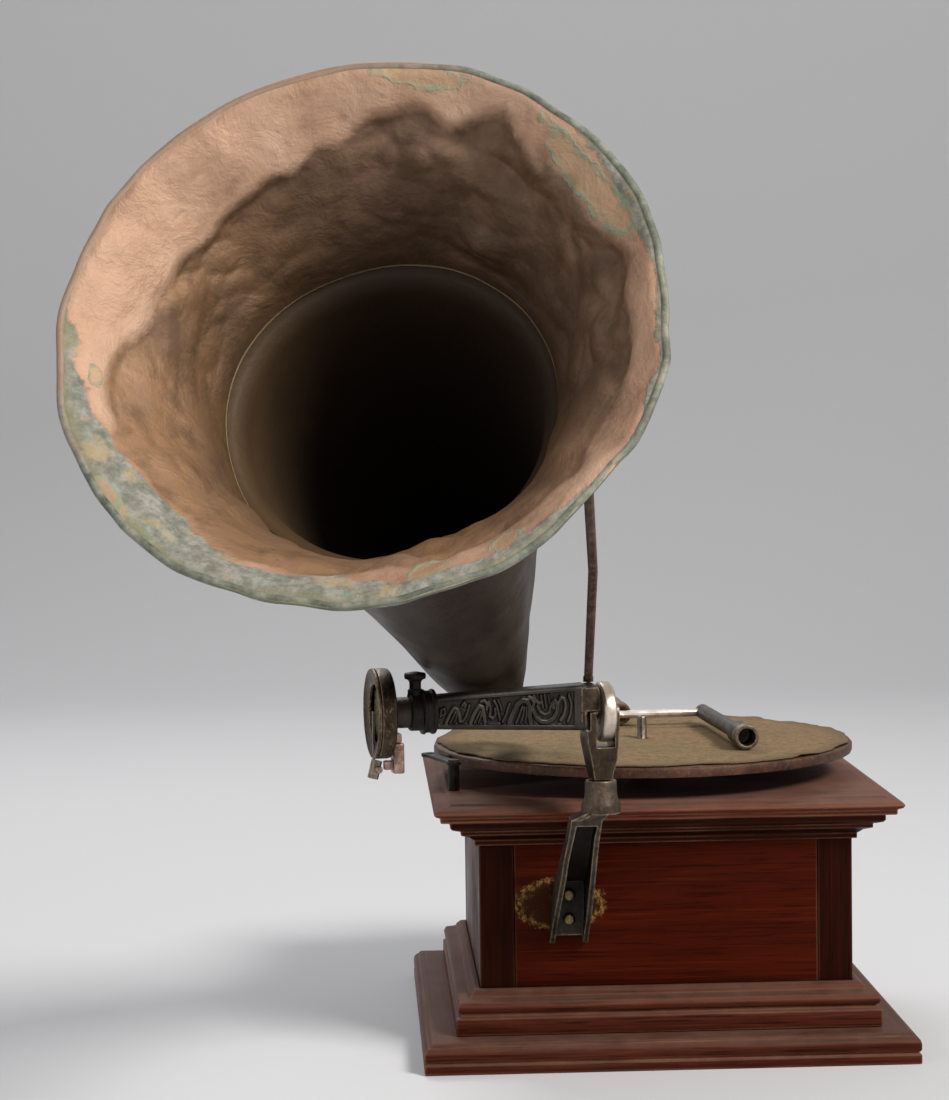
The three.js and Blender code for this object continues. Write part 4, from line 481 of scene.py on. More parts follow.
# Painted shade: the wall that faces away from the key lamp takes the darker copy of the funnel colours.
toward_painted_shade = put(tree, "VectorMath", {0: spot, 1: (-0.62, 0.78, 0)}, operation="DOT_PRODUCT").outputs["Value"]
painted_shade_share = level(tree, sums(tree, "ADD", toward_painted_shade, sums(tree, "MULTIPLY", sums(tree, "SUBTRACT", cloud), 0.16)),
               -0.05, 0.07)
funnel = blended(tree, level(tree, speckle(tree, spot, 30, 6, 0.68, warp=0.5, shift=(7, 3, 5)), 0.46, 0.62, 0, 0.55),
                 blended(tree, painted_shade_share, lit_side, painted_shade_colour), ramp(tree, deep, [(0.1, (0.34, 0.215, 0.135)),
                                                                              (0.5, (0.20, 0.125, 0.070)),
                                                                              (1.0, (0.07, 0.042, 0.020))]))
blotched = blended(tree, level(tree, speckle(tree, spot, 38, 5, 0.64, warp=0.5), 0.47, 0.62, 0, 0.6), funnel,
                   ramp(tree, deep, [(0.0, (0.14, 0.078, 0.044)), (1.0, (0.045, 0.024, 0.012))]))
rosy = blended(tree, level(tree, speckle(tree, spot, 55, 4, 0.6, shift=(3, 1, 0)), 0.52, 0.70, 0, 0.5), blotched,
               ramp(tree, deep, [(0.0, (0.36, 0.20, 0.14)), (1.0, (0.085, 0.042, 0.026))]))
lip_tan = ramp(tree, cloud, [(0.34, (0.33, 0.190, 0.120)), (0.48, (0.46, 0.280, 0.180)), (0.64, (0.55, 0.36, 0.245))])
ground = blended(tree, in_funnel, lip_tan, rosy)
stains = blended(tree, level(tree, fine_wander, 0.60, 0.72, 0, 0.3), ground, (0.12, 0.068, 0.038))
toward_pale = put(tree, "VectorMath", {0: spot, 1: (0.76, 0.65, 0)}, operation="DOT_PRODUCT").outputs["Value"]
toward_thick = put(tree, "VectorMath", {0: spot, 1: (0.6, -0.8, 0)}, operation="DOT_PRODUCT").outputs["Value"]
widened = sums(tree, "ADD", radius, sums(tree, "MULTIPLY", sums(tree, "MAXIMUM", toward_thick, 0.0), 0.135))
thinned = sums(tree, "SUBTRACT", widened, sums(tree, "MULTIPLY", sums(tree, "MAXIMUM", toward_pale, 0.0), 0.095))
edge_place = sums(tree, "ADD", thinned, sums(tree, "MULTIPLY", sums(tree, "SUBTRACT", wander), 0.030))
band = level(tree, sums(tree, "ADD", edge_place, sums(tree, "MULTIPLY", sums(tree, "SUBTRACT", fine_wander), 0.005)),
             0.1312, 0.1326)
copper_line = sums(tree, "MULTIPLY", level(tree, edge_place, 0.1285, 0.1308),
                   sums(tree, "SUBTRACT", 1.0, level(tree, edge_place, 0.1312, 0.1345)))
silver = ramp(tree, speckle(tree, spot, 150, 5, 0.7), [(0.35, (0.15, 0.155, 0.12)), (0.5, (0.25, 0.245, 0.20)),
                                                      (0.62, (0.36, 0.35, 0.30))])
outer = level(tree, sums(tree, "ADD", radius, sums(tree, "MULTIPLY", sums(tree, "SUBTRACT", wander), 0.02)), 0.129, 0.134)
olive = blended(tree, sums(tree, "MULTIPLY", outer, level(tree, toward_thick, 0.0, 0.06, 0.15, 0.75)), silver,
                (0.26, 0.235, 0.115))
ochre = blended(tree, level(tree, speckle(tree, spot, 60, 4, 0.6, shift=(5, 5, 5)), 0.55, 0.66, 0, 0.7), olive,
                (0.46, 0.35, 0.19))
turquoise = blended(tree, level(tree, speckle(tree, spot, 75, 5, 0.7, shift=(1, 9, 2)), 0.61, 0.67, 0, 0.8), ochre,
                    (0.20, 0.34, 0.25))
lined = blended(tree, sums(tree, "MULTIPLY", copper_line, 0.4), stains, (0.50, 0.27, 0.16))
soldered = blended(tree, level(tree, depth, 0.0846, 0.0854, 0, 0.9), lined, (0.55, 0.42, 0.24))
banded = blended(tree, band, soldered, turquoise)
print("bell colours mixed")

# %% Lay the islands of corrosion
islands = banded
raised = band
uneven = level(tree, speckle(tree, spot, 130, 5, 0.7, shift=(6, 2, 4)), 0.40, 0.58, 0.15, 1.0)
for x, y, long, narrow in ((-0.0985, 0.0720, 0.040, 0.0075), (-0.019, 0.1285, 0.027, 0.0050), (-0.037, -0.115, 0.010, 0.006),
                           (-0.070, -0.102, 0.009, 0.005), (0.106, -0.082, 0.010, 0.006), (0.1190, -0.020, 0.006, 0.003)):
    across = -(math.atan2(y, x) + math.pi / 2)
    away = near_spot(tree, spot, (x, y, 0.006), 1, (1 / long, 1 / narrow, 20), across)
    ragged = sums(tree, "ADD", away, sums(tree, "MULTIPLY", sums(tree, "SUBTRACT", fine_wander), 1.5))
    inside = sums(tree, "SUBTRACT", 1.0, level(tree, ragged, 0.86, 0.98))
    shore = sums(tree, "MULTIPLY", sums(tree, "MULTIPLY", inside, level(tree, ragged, 0.58, 0.86)), uneven)
    islands = blended(tree, sums(tree, "MULTIPLY", inside, 0.7), islands, (0.47, 0.31, 0.18))
    islands = blended(tree, sums(tree, "MULTIPLY", shore, 0.85), islands, (0.21, 0.34, 0.25))
    raised = sums(tree, "MAXIMUM", raised, shore)
link(tree, islands, shader, "Base Color")
metal = sums(tree, "SUBTRACT", 0.36, sums(tree, "MULTIPLY", raised, 0.3))
link(tree, metal, shader, "Metallic")
link(tree, level(tree, sums(tree, "ADD", cloud, sums(tree, "MULTIPLY", raised, 0.4)), 0.3, 0.9, 0.56, 0.8), shader,
     "Roughness")
crinkle = relief(tree, speckle(tree, spot, 60, 6, 0.65, warp=0.4), 0.0018)
pitted = relief(tree, sums(tree, "ADD", grain, sums(tree, "MULTIPLY", raised, 1.4)), 0.00022, crinkle)
link(tree, pitted, shader, "Normal")

bell = keep("bell_sheet", bell_mesh, brass_inside, "arm", "horn_bell")
print("islands laid on", bell.name)

# %% [markdown]
# ## The outside of the horn
# Outside, the brass has gone a dull dark tan with a grey bloom, and near the rim it is green.
# The bell is a single sheet, so a Solidify modifier gives it its thickness and puts the outside
# finish on the new skin. The rim is rolled round a wire: a thin ring that follows the bent lip.

# %% Mix the outside finish
brass_outside, tree, shader, place = begin("dull_brass")
spot, radius, depth = horn_place(tree, place)
cloud = speckle(tree, spot, 12, 6, 0.6, warp=0.5)
drawn = speckle(tree, spot, 60, 4, 0.6, stretch=(1, 1, 0.12))
tan = ramp(tree, cloud, [(0.3, (0.018, 0.0105, 0.0065)), (0.5, (0.031, 0.0195, 0.0125)), (0.68, (0.055, 0.036, 0.024))])
bloom = blended(tree, level(tree, drawn, 0.45, 0.7, 0, 0.35), tan, (0.052, 0.037, 0.027))
rim_share = sums(tree, "MULTIPLY", level(tree, sums(tree, "ADD", radius, sums(tree, "MULTIPLY", sums(
    tree, "SUBTRACT", cloud), 0.02)), 0.126, 0.134), level(tree, depth, 0.02, 0.008))
greened = blended(tree, rim_share, bloom, (0.13, 0.15, 0.105))
link(tree, greened, shader, "Base Color")
shader.inputs["Metallic"].default_value = 0.6
link(tree, level(tree, drawn, 0.3, 0.7, 0.42, 0.62), shader, "Roughness")
link(tree, relief(tree, speckle(tree, spot, 240, 4, 0.6), 0.00015,
                  relief(tree, speckle(tree, spot, 40, 5, 0.6), 0.0012)), shader, "Normal")

bell.data.materials.append(brass_outside)
wall = bell.modifiers.new("sheet", "SOLIDIFY")
wall.thickness = sheet
wall.offset = -1
wall.material_offset = 1
wall.material_offset_rim = 1
print("wall:", wall.thickness)

# %% Roll the rim round its wire
rim_finish, tree, shader, place = begin("green_rim")
spot, radius, depth = horn_place(tree, place)
mixed_greens = ramp(tree, speckle(tree, spot, 90, 5, 0.65), [
    (0.32, (0.075, 0.085, 0.060)), (0.46, (0.17, 0.18, 0.135)), (0.58, (0.28, 0.275, 0.215)), (0.72, (0.34, 0.28, 0.18))])
toward_pale = put(tree, "VectorMath", {0: spot, 1: (0.76, 0.65, 0)}, operation="DOT_PRODUCT").outputs["Value"]
cleaner = level(tree, sums(tree, "ADD", toward_pale, sums(tree, "MULTIPLY", sums(tree, "SUBTRACT", speckle(
    tree, spot, 40, 5, 0.65)), 0.12)), 0.045, 0.10, 0, 0.85)
link(tree, blended(tree, cleaner, mixed_greens, (0.36, 0.225, 0.15)), shader, "Base Color")
shader.inputs["Metallic"].default_value = 0.25
shader.inputs["Roughness"].default_value = 0.68
link(tree, relief(tree, speckle(tree, spot, 500, 4, 0.7), 0.0004), shader, "Normal")

rim_profile = [(horn_radius - bead_radius + bead_radius * math.cos(a), bead_radius + bead_radius * math.sin(a))
               for a in [math.tau * i / 14 for i in range(14)]]
rim_mesh = spun(rim_profile, bell_steps, closed=True)
for vert in rim_mesh.verts:
    around = math.atan2(vert.co.y, vert.co.x)
    push = dent(around, 0.0, horn_radius - bead_radius)
    vert.co += Vector((math.cos(around), math.sin(around), 0)) * (push - 0.00008)
bmesh.ops.transform(rim_mesh, matrix=horn_frame, verts=rim_mesh.verts[:])
rim = keep("rolled_rim", rim_mesh, rim_finish, "arm")
print("rim faces:", len(rim.data.polygons))

# %% Raise the neck
shoulder = seam_depth + 0.0128
neck_profile = [(bell_radius(d) + sheet + 0.0003, d) for d in (0.078, 0.080, 0.082, 0.084, 0.0863)]
neck_profile += [(0.0757, 0.0895), (0.0724, 0.0935), (cone_radius(shoulder) - 3 * sheet, shoulder)]
straight = [(cone_radius(0.1417) - 2 * sheet, 0.1417), (neck_radius - sheet, neck_depth),
            (cone_radius(0.332) - sheet, 0.332), (tail_radius - sheet, tail_depth)]
for (r0, z0), (r1, z1) in zip([neck_profile[-1]] + straight, straight):
    neck_profile += [(r0 + (r1 - r0) * k / 14, z0 + (z1 - z0) * k / 14) for k in range(1, 15)]
neck_mesh = spun(neck_profile, 192)
for vert in neck_mesh.verts:
    around, out = math.atan2(vert.co.y, vert.co.x), math.hypot(vert.co.x, vert.co.y)
    spot = Vector((vert.co.x, vert.co.y, vert.co.z * 0.6))
    ends = stepped(vert.co.z, 0.10, 0.13) * (1 - stepped(vert.co.z, 0.40, 0.44))
    push = ends * (noise.noise(spot * 22) * 0.0016 + noise.noise(spot * 60) * 0.0004)
    vert.co += Vector((math.cos(around), math.sin(around), 0)) * push
if neck_mesh.faces[0].normal.xy.dot(neck_mesh.faces[0].calc_center_median().xy) > 0:
    bmesh.ops.reverse_faces(neck_mesh, faces=neck_mesh.faces[:])
bmesh.ops.transform(neck_mesh, matrix=horn_frame, verts=neck_mesh.verts[:])

# %% Darken the throat
# Painted shade: the throat darkens with depth, partly tarnish and partly painted shade, and the side away from the key
# lamp is painted nearly black.
throat_finish, tree, shader, place = begin("dark_throat")
spot, radius, depth = horn_place(tree, place)
throat_tarnish_and_shade_wander = speckle(tree, spot, 30, 5, 0.6)
away_from_lamp = level(tree, put(tree, "VectorMath", {0: spot, 1: (-0.62, 0.78, 0)},
                                 operation="DOT_PRODUCT").outputs["Value"], -0.05, 0.05, 0, 0.75)
throat_tarnish_and_shade = ramp(tree, sums(tree, "ADD", level(tree, depth, 0.08, 0.4), sums(tree, "MULTIPLY", sums(
    tree, "SUBTRACT", throat_tarnish_and_shade_wander), 0.3)), [(0.0, (0.085, 0.046, 0.017)), (0.3, (0.040, 0.022, 0.010)),
                                     (1.0, (0.014, 0.009, 0.005))])
link(tree, blended(tree, away_from_lamp, throat_tarnish_and_shade, (0.012, 0.006, 0.004)), shader, "Base Color")
shader.inputs["Metallic"].default_value = 0.3
shader.inputs["Roughness"].default_value = 0.62
link(tree, relief(tree, speckle(tree, spot, 120, 4, 0.6), 0.0005), shader, "Normal")
neck = keep("neck_sheet", neck_mesh, throat_finish, "arm", "horn_neck")
neck.data.materials.append(brass_outside)
wall = neck.modifiers.new("sheet", "SOLIDIFY")
wall.thickness, wall.offset = sheet, -1
wall.material_offset = wall.material_offset_rim = 1
print("neck faces:", len(neck.data.polygons))

# %% [markdown]
# ## Mahogany
# The case is solid mahogany under a dark red varnish that has worn. The panels and rails have
# level grain, the corner stiles upright grain, and each moulding has its grain along its own
# length, so the four strips meet in mitres. The grain is noise stretched along one axis: broad
# ribbons, thin dark pores and a fine fibre for the bump. On the flat tops and the plinth a grey
# dust lies, and the corners are rubbed to paler wood.


# %% Lay the worn oval
def worn_oval(tree, place, colour):
    """A darker oval on the front where gilding was, with a few golden crumbs along its edge."""
    moved = put(tree, "VectorMath", {0: place, 1: (-0.0618, -0.1023, 0.090)}, operation="SUBTRACT").outputs[0]
    oval = put(tree, "Mapping", {"Vector": moved, "Scale": (1 / 0.027, 0, 1 / 0.0155)}).outputs[0]
    away = put(tree, "VectorMath", {0: oval}, operation="LENGTH").outputs["Value"]
    crumbs = speckle(tree, place, 260, 5, 0.7)
    ragged = sums(tree, "ADD", away, sums(tree, "MULTIPLY", sums(tree, "SUBTRACT", crumbs), 0.5))
    inside = sums(tree, "SUBTRACT", 1.0, level(tree, ragged, 0.94, 1.03))
    border = sums(tree, "MULTIPLY", inside, level(tree, ragged, 0.74, 0.9))
    flecked = sums(tree, "MULTIPLY", border, level(tree, speckle(tree, place, 420, 4, 0.7), 0.46, 0.56))
    darkened = blended(tree, sums(tree, "MULTIPLY", inside, 0.85), colour, (0.028, 0.011, 0.0045))
    scuffed = blended(tree, sums(tree, "MULTIPLY", inside, level(tree, crumbs, 0.55, 0.62, 0, 0.7)), darkened,
                      (0.085, 0.040, 0.018))
    return blended(tree, sums(tree, "MULTIPLY", flecked, 0.85), scuffed, (0.30, 0.165, 0.05))


# %% Mix a mahogany
def mahogany(name, along, light=(0.058, 0.0052, 0.0014), dark=(0.022, 0.0018, 0.0006), dust=0.0, rub=0.4, gloss=0.36, patch=False):
    """Wood whose grain runs along an axis, or with its nearest case side where along is 'round'."""
    wood, tree, shader, place = begin(name)
    if along == "round":
        parts = put(tree, "SeparateXYZ", {"Vector": place})
        x_reach = sums(tree, "SUBTRACT", sums(tree, "ABSOLUTE", parts.outputs["X"]), 0.1076)
        y_reach = sums(tree, "SUBTRACT", sums(tree, "ABSOLUTE", parts.outputs["Y"]), 0.1023)
        on_side = sums(tree, "GREATER_THAN", x_reach, y_reach)
        swapped = put(tree, "CombineXYZ", {"X": parts.outputs["Y"], "Y": parts.outputs["X"], "Z": parts.outputs["Z"]})
        place_mix = put(tree, "Mix", {0: on_side}, data_type="VECTOR")
        tree.links.new(place, place_mix.inputs["A"] if place_mix.inputs["A"].type == "VECTOR" else place_mix.inputs[4])
        tree.links.new(swapped.outputs[0], place_mix.inputs[5])
        run = place_mix.outputs[1]
        along = 0
    else:
        run = place
    stretch = [1.0, 1.0, 1.0]
    stretch[along] = 0.06
    ribbon = speckle(tree, run, 55, 5, 0.62, stretch=stretch, warp=0.35)
    stretch[along] = 0.03
    pores = speckle(tree, run, 820, 3, 0.6, stretch=stretch)
    stretch[along] = 0.02
    fibre = speckle(tree, run, 340, 4, 0.7, stretch=stretch)
    wear = speckle(tree, place, 19, 6, 0.66, shift=(4, 2, 9))
    ribbons = ramp(tree, ribbon, [(0.3, dark), (0.48, [(a + b) / 2 for a, b in zip(light, dark)]), (0.68, light)])
    pored = blended(tree, level(tree, pores, 0.36, 0.47, 0.75, 0.0), ribbons, [c * 0.35 for c in dark])
    streaked = blended(tree, level(tree, fibre, 0.52, 0.72, 0, 0.6), pored, [c * k for c, k in zip(light, (1.6, 2.6, 2.6))])
    stained = blended(tree, level(tree, wear, 0.55, 0.75, 0, 0.6), streaked, [c * 0.5 for c in dark])
    bevel = put(tree, "Bevel", {"Radius": 0.0016}, samples=4).outputs[0]
    turned = put(tree, "VectorMath", {0: bevel, 1: put(tree, "NewGeometry").outputs["Normal"]},
                 operation="DOT_PRODUCT").outputs["Value"]
    rubbed = sums(tree, "MULTIPLY", level(tree, turned, 0.995, 0.90), level(tree, wear, 0.38, 0.6, 0.25, 1.0))
    paled = blended(tree, sums(tree, "MULTIPLY", rubbed, rub), stained, (0.33, 0.15, 0.085))
    colour = worn_oval(tree, place, paled) if patch else paled
    if dust:
        facing = put(tree, "SeparateXYZ", {"Vector": put(tree, "NewGeometry").outputs["Normal"]}).outputs["Z"]
        dusty = sums(tree, "MULTIPLY", level(tree, facing, 0.1, 0.9), level(
            tree, speckle(tree, place, 45, 6, 0.7), 0.3, 0.7, 0.35 * dust, dust))
        colour = blended(tree, dusty, paled, (0.23, 0.15, 0.115))
        link(tree, level(tree, dusty, 0, 0.5, gloss, 0.75), shader, "Roughness")
    else:
        link(tree, level(tree, wear, 0.35, 0.7, gloss, gloss + 0.22), shader, "Roughness")
    link(tree, colour, shader, "Base Color")
    shader.inputs["Specular IOR Level"].default_value = 0.12
    shader.inputs["Specular Tint"].default_value = (1, 0.4, 0.25, 1)
    link(tree, relief(tree, fibre, 0.00009, relief(tree, pores, 0.00012)), shader, "Normal")
    return wood


panel_level = mahogany("mahogany_level", 0)
front_wood = mahogany("mahogany_front", 0, patch=True)
# Painted shade: the cornice is painted much darker than the other mouldings, for the shade under the top board's
# overhang.
cornice_painted_shade_wood = mahogany("mahogany_cornice_painted_shade", "round", (0.026, 0.0048, 0.0022), (0.009, 0.0017, 0.0009), dust=0.06, rub=0.8)
panel_deep = mahogany("mahogany_side", 1)
stile_wood = mahogany("mahogany_upright", 2, (0.020, 0.0030, 0.0013), (0.007, 0.0011, 0.0005))
moulding_wood = mahogany("mahogany_moulding", "round", (0.088, 0.020, 0.011), (0.030, 0.0066, 0.0036), dust=0.4,
                         rub=0.9, gloss=0.34)
top_wood = mahogany("mahogany_top", 0, (0.140, 0.037, 0.022), (0.050, 0.012, 0.0072), dust=0.5, rub=1.0)
print("woods mixed")

# %% Dress the case
for node, finish, width in (
        ("plinth_moulding", moulding_wood, 0.0007), ("base_moulding", moulding_wood, 0.0006),
        ("cornice_moulding", cornice_painted_shade_wood, 0.0005), ("top_board", top_wood, 0.0006),
        ("bottom_board", panel_level, 0.0005), ("front_panel", front_wood, 0.0003),
        ("back_panel", panel_level, 0.0003), ("left_panel", panel_deep, 0.0003), ("right_panel", panel_deep, 0.0003),
        ("corner_post_1", stile_wood, 0.0008), ("corner_post_2", stile_wood, 0.0008),
        ("corner_post_3", stile_wood, 0.0008), ("corner_post_4", stile_wood, 0.0008)):
    made = dressed(node, finish, "case", width, 40, 3)
    print(made.name, len(made.data.polygons))

# %% [markdown]
# ## Worn metal
# Nickel, brass, iron and black japan all age in the same few ways: the colour clouds over, fine
# scratches catch the light, dirt settles in patches, and edges are rubbed to a brighter tone.
# One recipe with different colours gives them all. Real metal that has gone dull reflects far
# less than polished metal, so its base colour here is dark, and only the rubbed edges are bright.


# %% Mix a worn metal
def worn_metal(name, dark, middle, light, edge, metallic=0.9, rough=(0.3, 0.55), cloud=60, scratch=0.3,
               rub=0.7, pits=0.00008, reach=0.0009, specular=0.4, hollow_painted_shade=0.0):
    """Three clouded tones, scratches, pits and an edge colour. Clouds are in waves per metre."""
    metal, tree, shader, place = begin(name)
    clouds = speckle(tree, place, cloud, 6, 0.64, warp=0.4)
    flecks = speckle(tree, place, cloud * 7, 4, 0.65)
    lines = speckle(tree, place, 700, 3, 0.6, stretch=(1, 0.08, 0.5), warp=0.3)
    toned = ramp(tree, sums(tree, "ADD", sums(tree, "MULTIPLY", clouds, 0.7), sums(tree, "MULTIPLY", flecks, 0.3)),
                 [(0.36, dark), (0.5, middle), (0.64, light)])
    scratched = blended(tree, level(tree, lines, 0.56, 0.68, 0, scratch), toned, edge)
    soft = put(tree, "Bevel", {"Radius": reach}, samples=4).outputs[0]
    turned = put(tree, "VectorMath", {0: soft, 1: put(tree, "NewGeometry").outputs["Normal"]},
                 operation="DOT_PRODUCT").outputs["Value"]
    rubbed = sums(tree, "MULTIPLY", level(tree, turned, 0.998, 0.93), level(tree, flecks, 0.36, 0.56, 0.2, rub))
    worn = blended(tree, rubbed, scratched, edge)
    # Painted shade: an ambient occlusion node darkens hollows nearly to black.
    if hollow_painted_shade:
        hollow_shade_share = put(tree, "AmbientOcclusion", {"Distance": hollow_painted_shade}, samples=8).outputs["AO"]
        worn = blended(tree, level(tree, hollow_shade_share, 0.35, 0.8, 0.94, 0.0), worn, (0.003, 0.002, 0.001))
    link(tree, worn, shader, "Base Color")
    shader.inputs["Metallic"].default_value = metallic
    shader.inputs["Specular IOR Level"].default_value = specular
    link(tree, level(tree, clouds, 0.35, 0.65, *rough), shader, "Roughness")
    link(tree, relief(tree, lines, pits * 0.5, relief(tree, flecks, pits * 3)), shader, "Normal")
    return metal


cast_nickel = worn_metal("worn_cast_nickel", (0.022, 0.0135, 0.008), (0.042, 0.027, 0.0165), (0.080, 0.055, 0.035),
                         (0.36, 0.27, 0.17), 0.85, (0.26, 0.42), 40, 0.08, 0.8, 0.00002, 0.0012)
# The bracket's hollow gets painted shade from that ambient occlusion darkening.
bracket_iron = worn_metal("bracket_iron", (0.013, 0.0078, 0.005), (0.032, 0.021, 0.0135), (0.080, 0.056, 0.038),
                          (0.34, 0.26, 0.18), 0.5, (0.4, 0.66), 45, 0.15, 0.9, 0.00006, 0.0016, hollow_painted_shade=0.02)
arm_japan = worn_metal("rubbed_japan", (0.005, 0.0034, 0.0023), (0.014, 0.010, 0.007), (0.036, 0.027, 0.019),
                       (0.22, 0.155, 0.095), 0.45, (0.32, 0.52), 60, 0.12, 0.9, 0.00003, 0.0014, 0.25)
disc_nickel = worn_metal("scratched_nickel", (0.30, 0.235, 0.18), (0.44, 0.36, 0.29), (0.60, 0.51, 0.43),
                         (0.80, 0.72, 0.62), 0.9, (0.26, 0.40), 45, 0.25, 0.6, 0.000008)
rod_nickel = worn_metal("bright_rod_nickel", (0.52, 0.43, 0.36), (0.70, 0.61, 0.53), (0.86, 0.79, 0.71),
                        (0.96, 0.92, 0.86), 0.85, (0.26, 0.40), 80, 0.2, 0.4, 0.00001)
dull_nickel = worn_metal("dull_nickel", (0.07, 0.050, 0.035), (0.15, 0.115, 0.085), (0.28, 0.225, 0.17),
                         (0.50, 0.42, 0.33), 0.9, (0.28, 0.48), 110, 0.25, 0.7, 0.00003)
sound_brass = worn_metal("soundbox_brass", (0.020, 0.012, 0.0065), (0.045, 0.029, 0.017), (0.088, 0.060, 0.037),
                         (0.52, 0.38, 0.23), 0.85, (0.26, 0.48), 90, 0.22, 0.8)
lug_copper = worn_metal("copper_lug", (0.10, 0.060, 0.042), (0.25, 0.160, 0.118), (0.42, 0.29, 0.22),
                        (0.62, 0.48, 0.38), 0.9, (0.24, 0.44), 200, 0.3, 0.8)
case_brass = worn_metal("case_brass", (0.07, 0.048, 0.024), (0.17, 0.12, 0.06), (0.30, 0.22, 0.12),
                        (0.55, 0.42, 0.24), 0.9, (0.28, 0.5), 80, 0.25, 0.7)
black_japan = worn_metal("worn_black_japan", (0.003, 0.002, 0.0013), (0.0065, 0.0044, 0.0028), (0.016, 0.011, 0.0075),
                         (0.09, 0.062, 0.040), 0.2, (0.38, 0.58), 80, 0.12, 0.5, 0.00008, 0.0006, 0.2)
shaft_black = worn_metal("blackened_shaft", (0.008, 0.005, 0.0035), (0.028, 0.018, 0.012), (0.080, 0.052, 0.036),
                         (0.30, 0.22, 0.17), 0.7, (0.3, 0.5), 130, 0.3, 0.7)
rusted_rod = worn_metal("rusted_rod", (0.020, 0.009, 0.005), (0.060, 0.028, 0.016), (0.13, 0.075, 0.048),
                        (0.28, 0.20, 0.15), 0.45, (0.4, 0.66), 150, 0.3, 0.6)
elbow_bronze = worn_metal("dark_bronze", (0.014, 0.009, 0.006), (0.045, 0.030, 0.019), (0.095, 0.068, 0.044),
                          (0.24, 0.18, 0.12), 0.7, (0.36, 0.58), 70, 0.2, 0.6)
knuckle_bronze = worn_metal("knuckle_bronze", (0.014, 0.0088, 0.0055), (0.032, 0.021, 0.013), (0.070, 0.048, 0.031),
                            (0.34, 0.25, 0.16), 0.7, (0.3, 0.5), 50, 0.1, 0.9, 0.00003, 0.0014, 0.3)
ferrule_nickel = worn_metal("dull_ferrule", (0.05, 0.033, 0.021), (0.11, 0.076, 0.051), (0.21, 0.155, 0.11),
                            (0.50, 0.40, 0.30), 0.85, (0.3, 0.5), 120, 0.25, 0.6, 0.00003)
print("worn metals mixed")

# %% Mix the motor's metals
gear_brass = worn_metal("cut_gear_brass", (0.20, 0.13, 0.045), (0.42, 0.29, 0.11), (0.62, 0.46, 0.20),
                        (0.80, 0.64, 0.34), 1.0, (0.22, 0.42), 90, 0.3, 0.6, reach=0.0004)
oiled_steel = worn_metal("oiled_steel", (0.10, 0.10, 0.105), (0.24, 0.24, 0.25), (0.42, 0.42, 0.43),
                         (0.66, 0.66, 0.67), 1.0, (0.2, 0.4), 100, 0.35, 0.5, reach=0.0004)
motor_iron = worn_metal("painted_motor_iron", (0.016, 0.015, 0.013), (0.045, 0.042, 0.038), (0.085, 0.080, 0.072),
                        (0.22, 0.20, 0.17), 0.2, (0.45, 0.7), 50, 0.15, 0.8)
print("motor metals mixed")
# %% [markdown]
# ## The turntable and its felt
# The iron platter has rusted to a red-brown at its edge. On it lies a disc of felt that was once
# green: it is now khaki, speckled with brown, and its edge is frayed and torn back in places. A
# real sheet is best made as a sheet: one disc with fine rings, whose edge is pulled in by noise
# and then lifted a little where it has curled, given its thickness by a Solidify modifier.

# %% Rust the platter
platter_rust = worn_metal("rusted_platter", (0.018, 0.0048, 0.0018), (0.055, 0.018, 0.0068), (0.105, 0.045, 0.021),
                          (0.28, 0.17, 0.10), 0.35, (0.4, 0.66), 60, 0.25, 0.6)
platter = dressed("turntable", platter_rust, "platter", 0.0008, 30, 3)
spindle = dressed("spindle", dull_nickel, "platter", 0.0003)
print("platter faces:", len(platter.data.polygons))

# %% Dye and wear the felt
felt_cloth, tree, shader, place = begin("worn_felt")
nap = speckle(tree, place, 900, 4, 0.7)
fluff = speckle(tree, place, 260, 5, 0.7, warp=0.8)
faded = speckle(tree, place, 22, 5, 0.6, shift=(2, 7, 1))
khaki = ramp(tree, fluff, [(0.3, (0.13, 0.078, 0.034)), (0.48, (0.255, 0.160, 0.074)), (0.66, (0.35, 0.225, 0.110))])
green_tint = blended(tree, level(tree, faded, 0.44, 0.66, 0, 0.55), khaki, (0.185, 0.160, 0.060))
brown_spots = blended(tree, level(tree, speckle(tree, place, 130, 5, 0.72, shift=(8, 3, 0)), 0.57, 0.68, 0, 0.6),
                      green_tint, (0.13, 0.062, 0.028))
centred = put(tree, "Mapping", {"Vector": place, "Location": (0.0025, -0.0003, 0), "Scale": (1, 1, 0)}).outputs[0]
felt_out = put(tree, "VectorMath", {0: centred}, operation="LENGTH").outputs["Value"]
frayed = level(tree, sums(tree, "ADD", felt_out, sums(tree, "MULTIPLY", sums(tree, "SUBTRACT", fluff), 0.02)),
               0.112, 0.127, 0, 0.75)
edged = blended(tree, frayed, brown_spots, (0.14, 0.085, 0.045))
link(tree, blended(tree, level(tree, nap, 0.3, 0.5, 0.35, 0), edged, (0.07, 0.05, 0.025)), shader, "Base Color")
shader.inputs["Roughness"].default_value = 0.95
shader.inputs["Specular IOR Level"].default_value = 0.1
shader.inputs["Sheen Weight"].default_value = 0.08
shader.inputs["Sheen Roughness"].default_value = 0.5
link(tree, relief(tree, nap, 0.0004, relief(tree, fluff, 0.0009)), shader, "Normal")

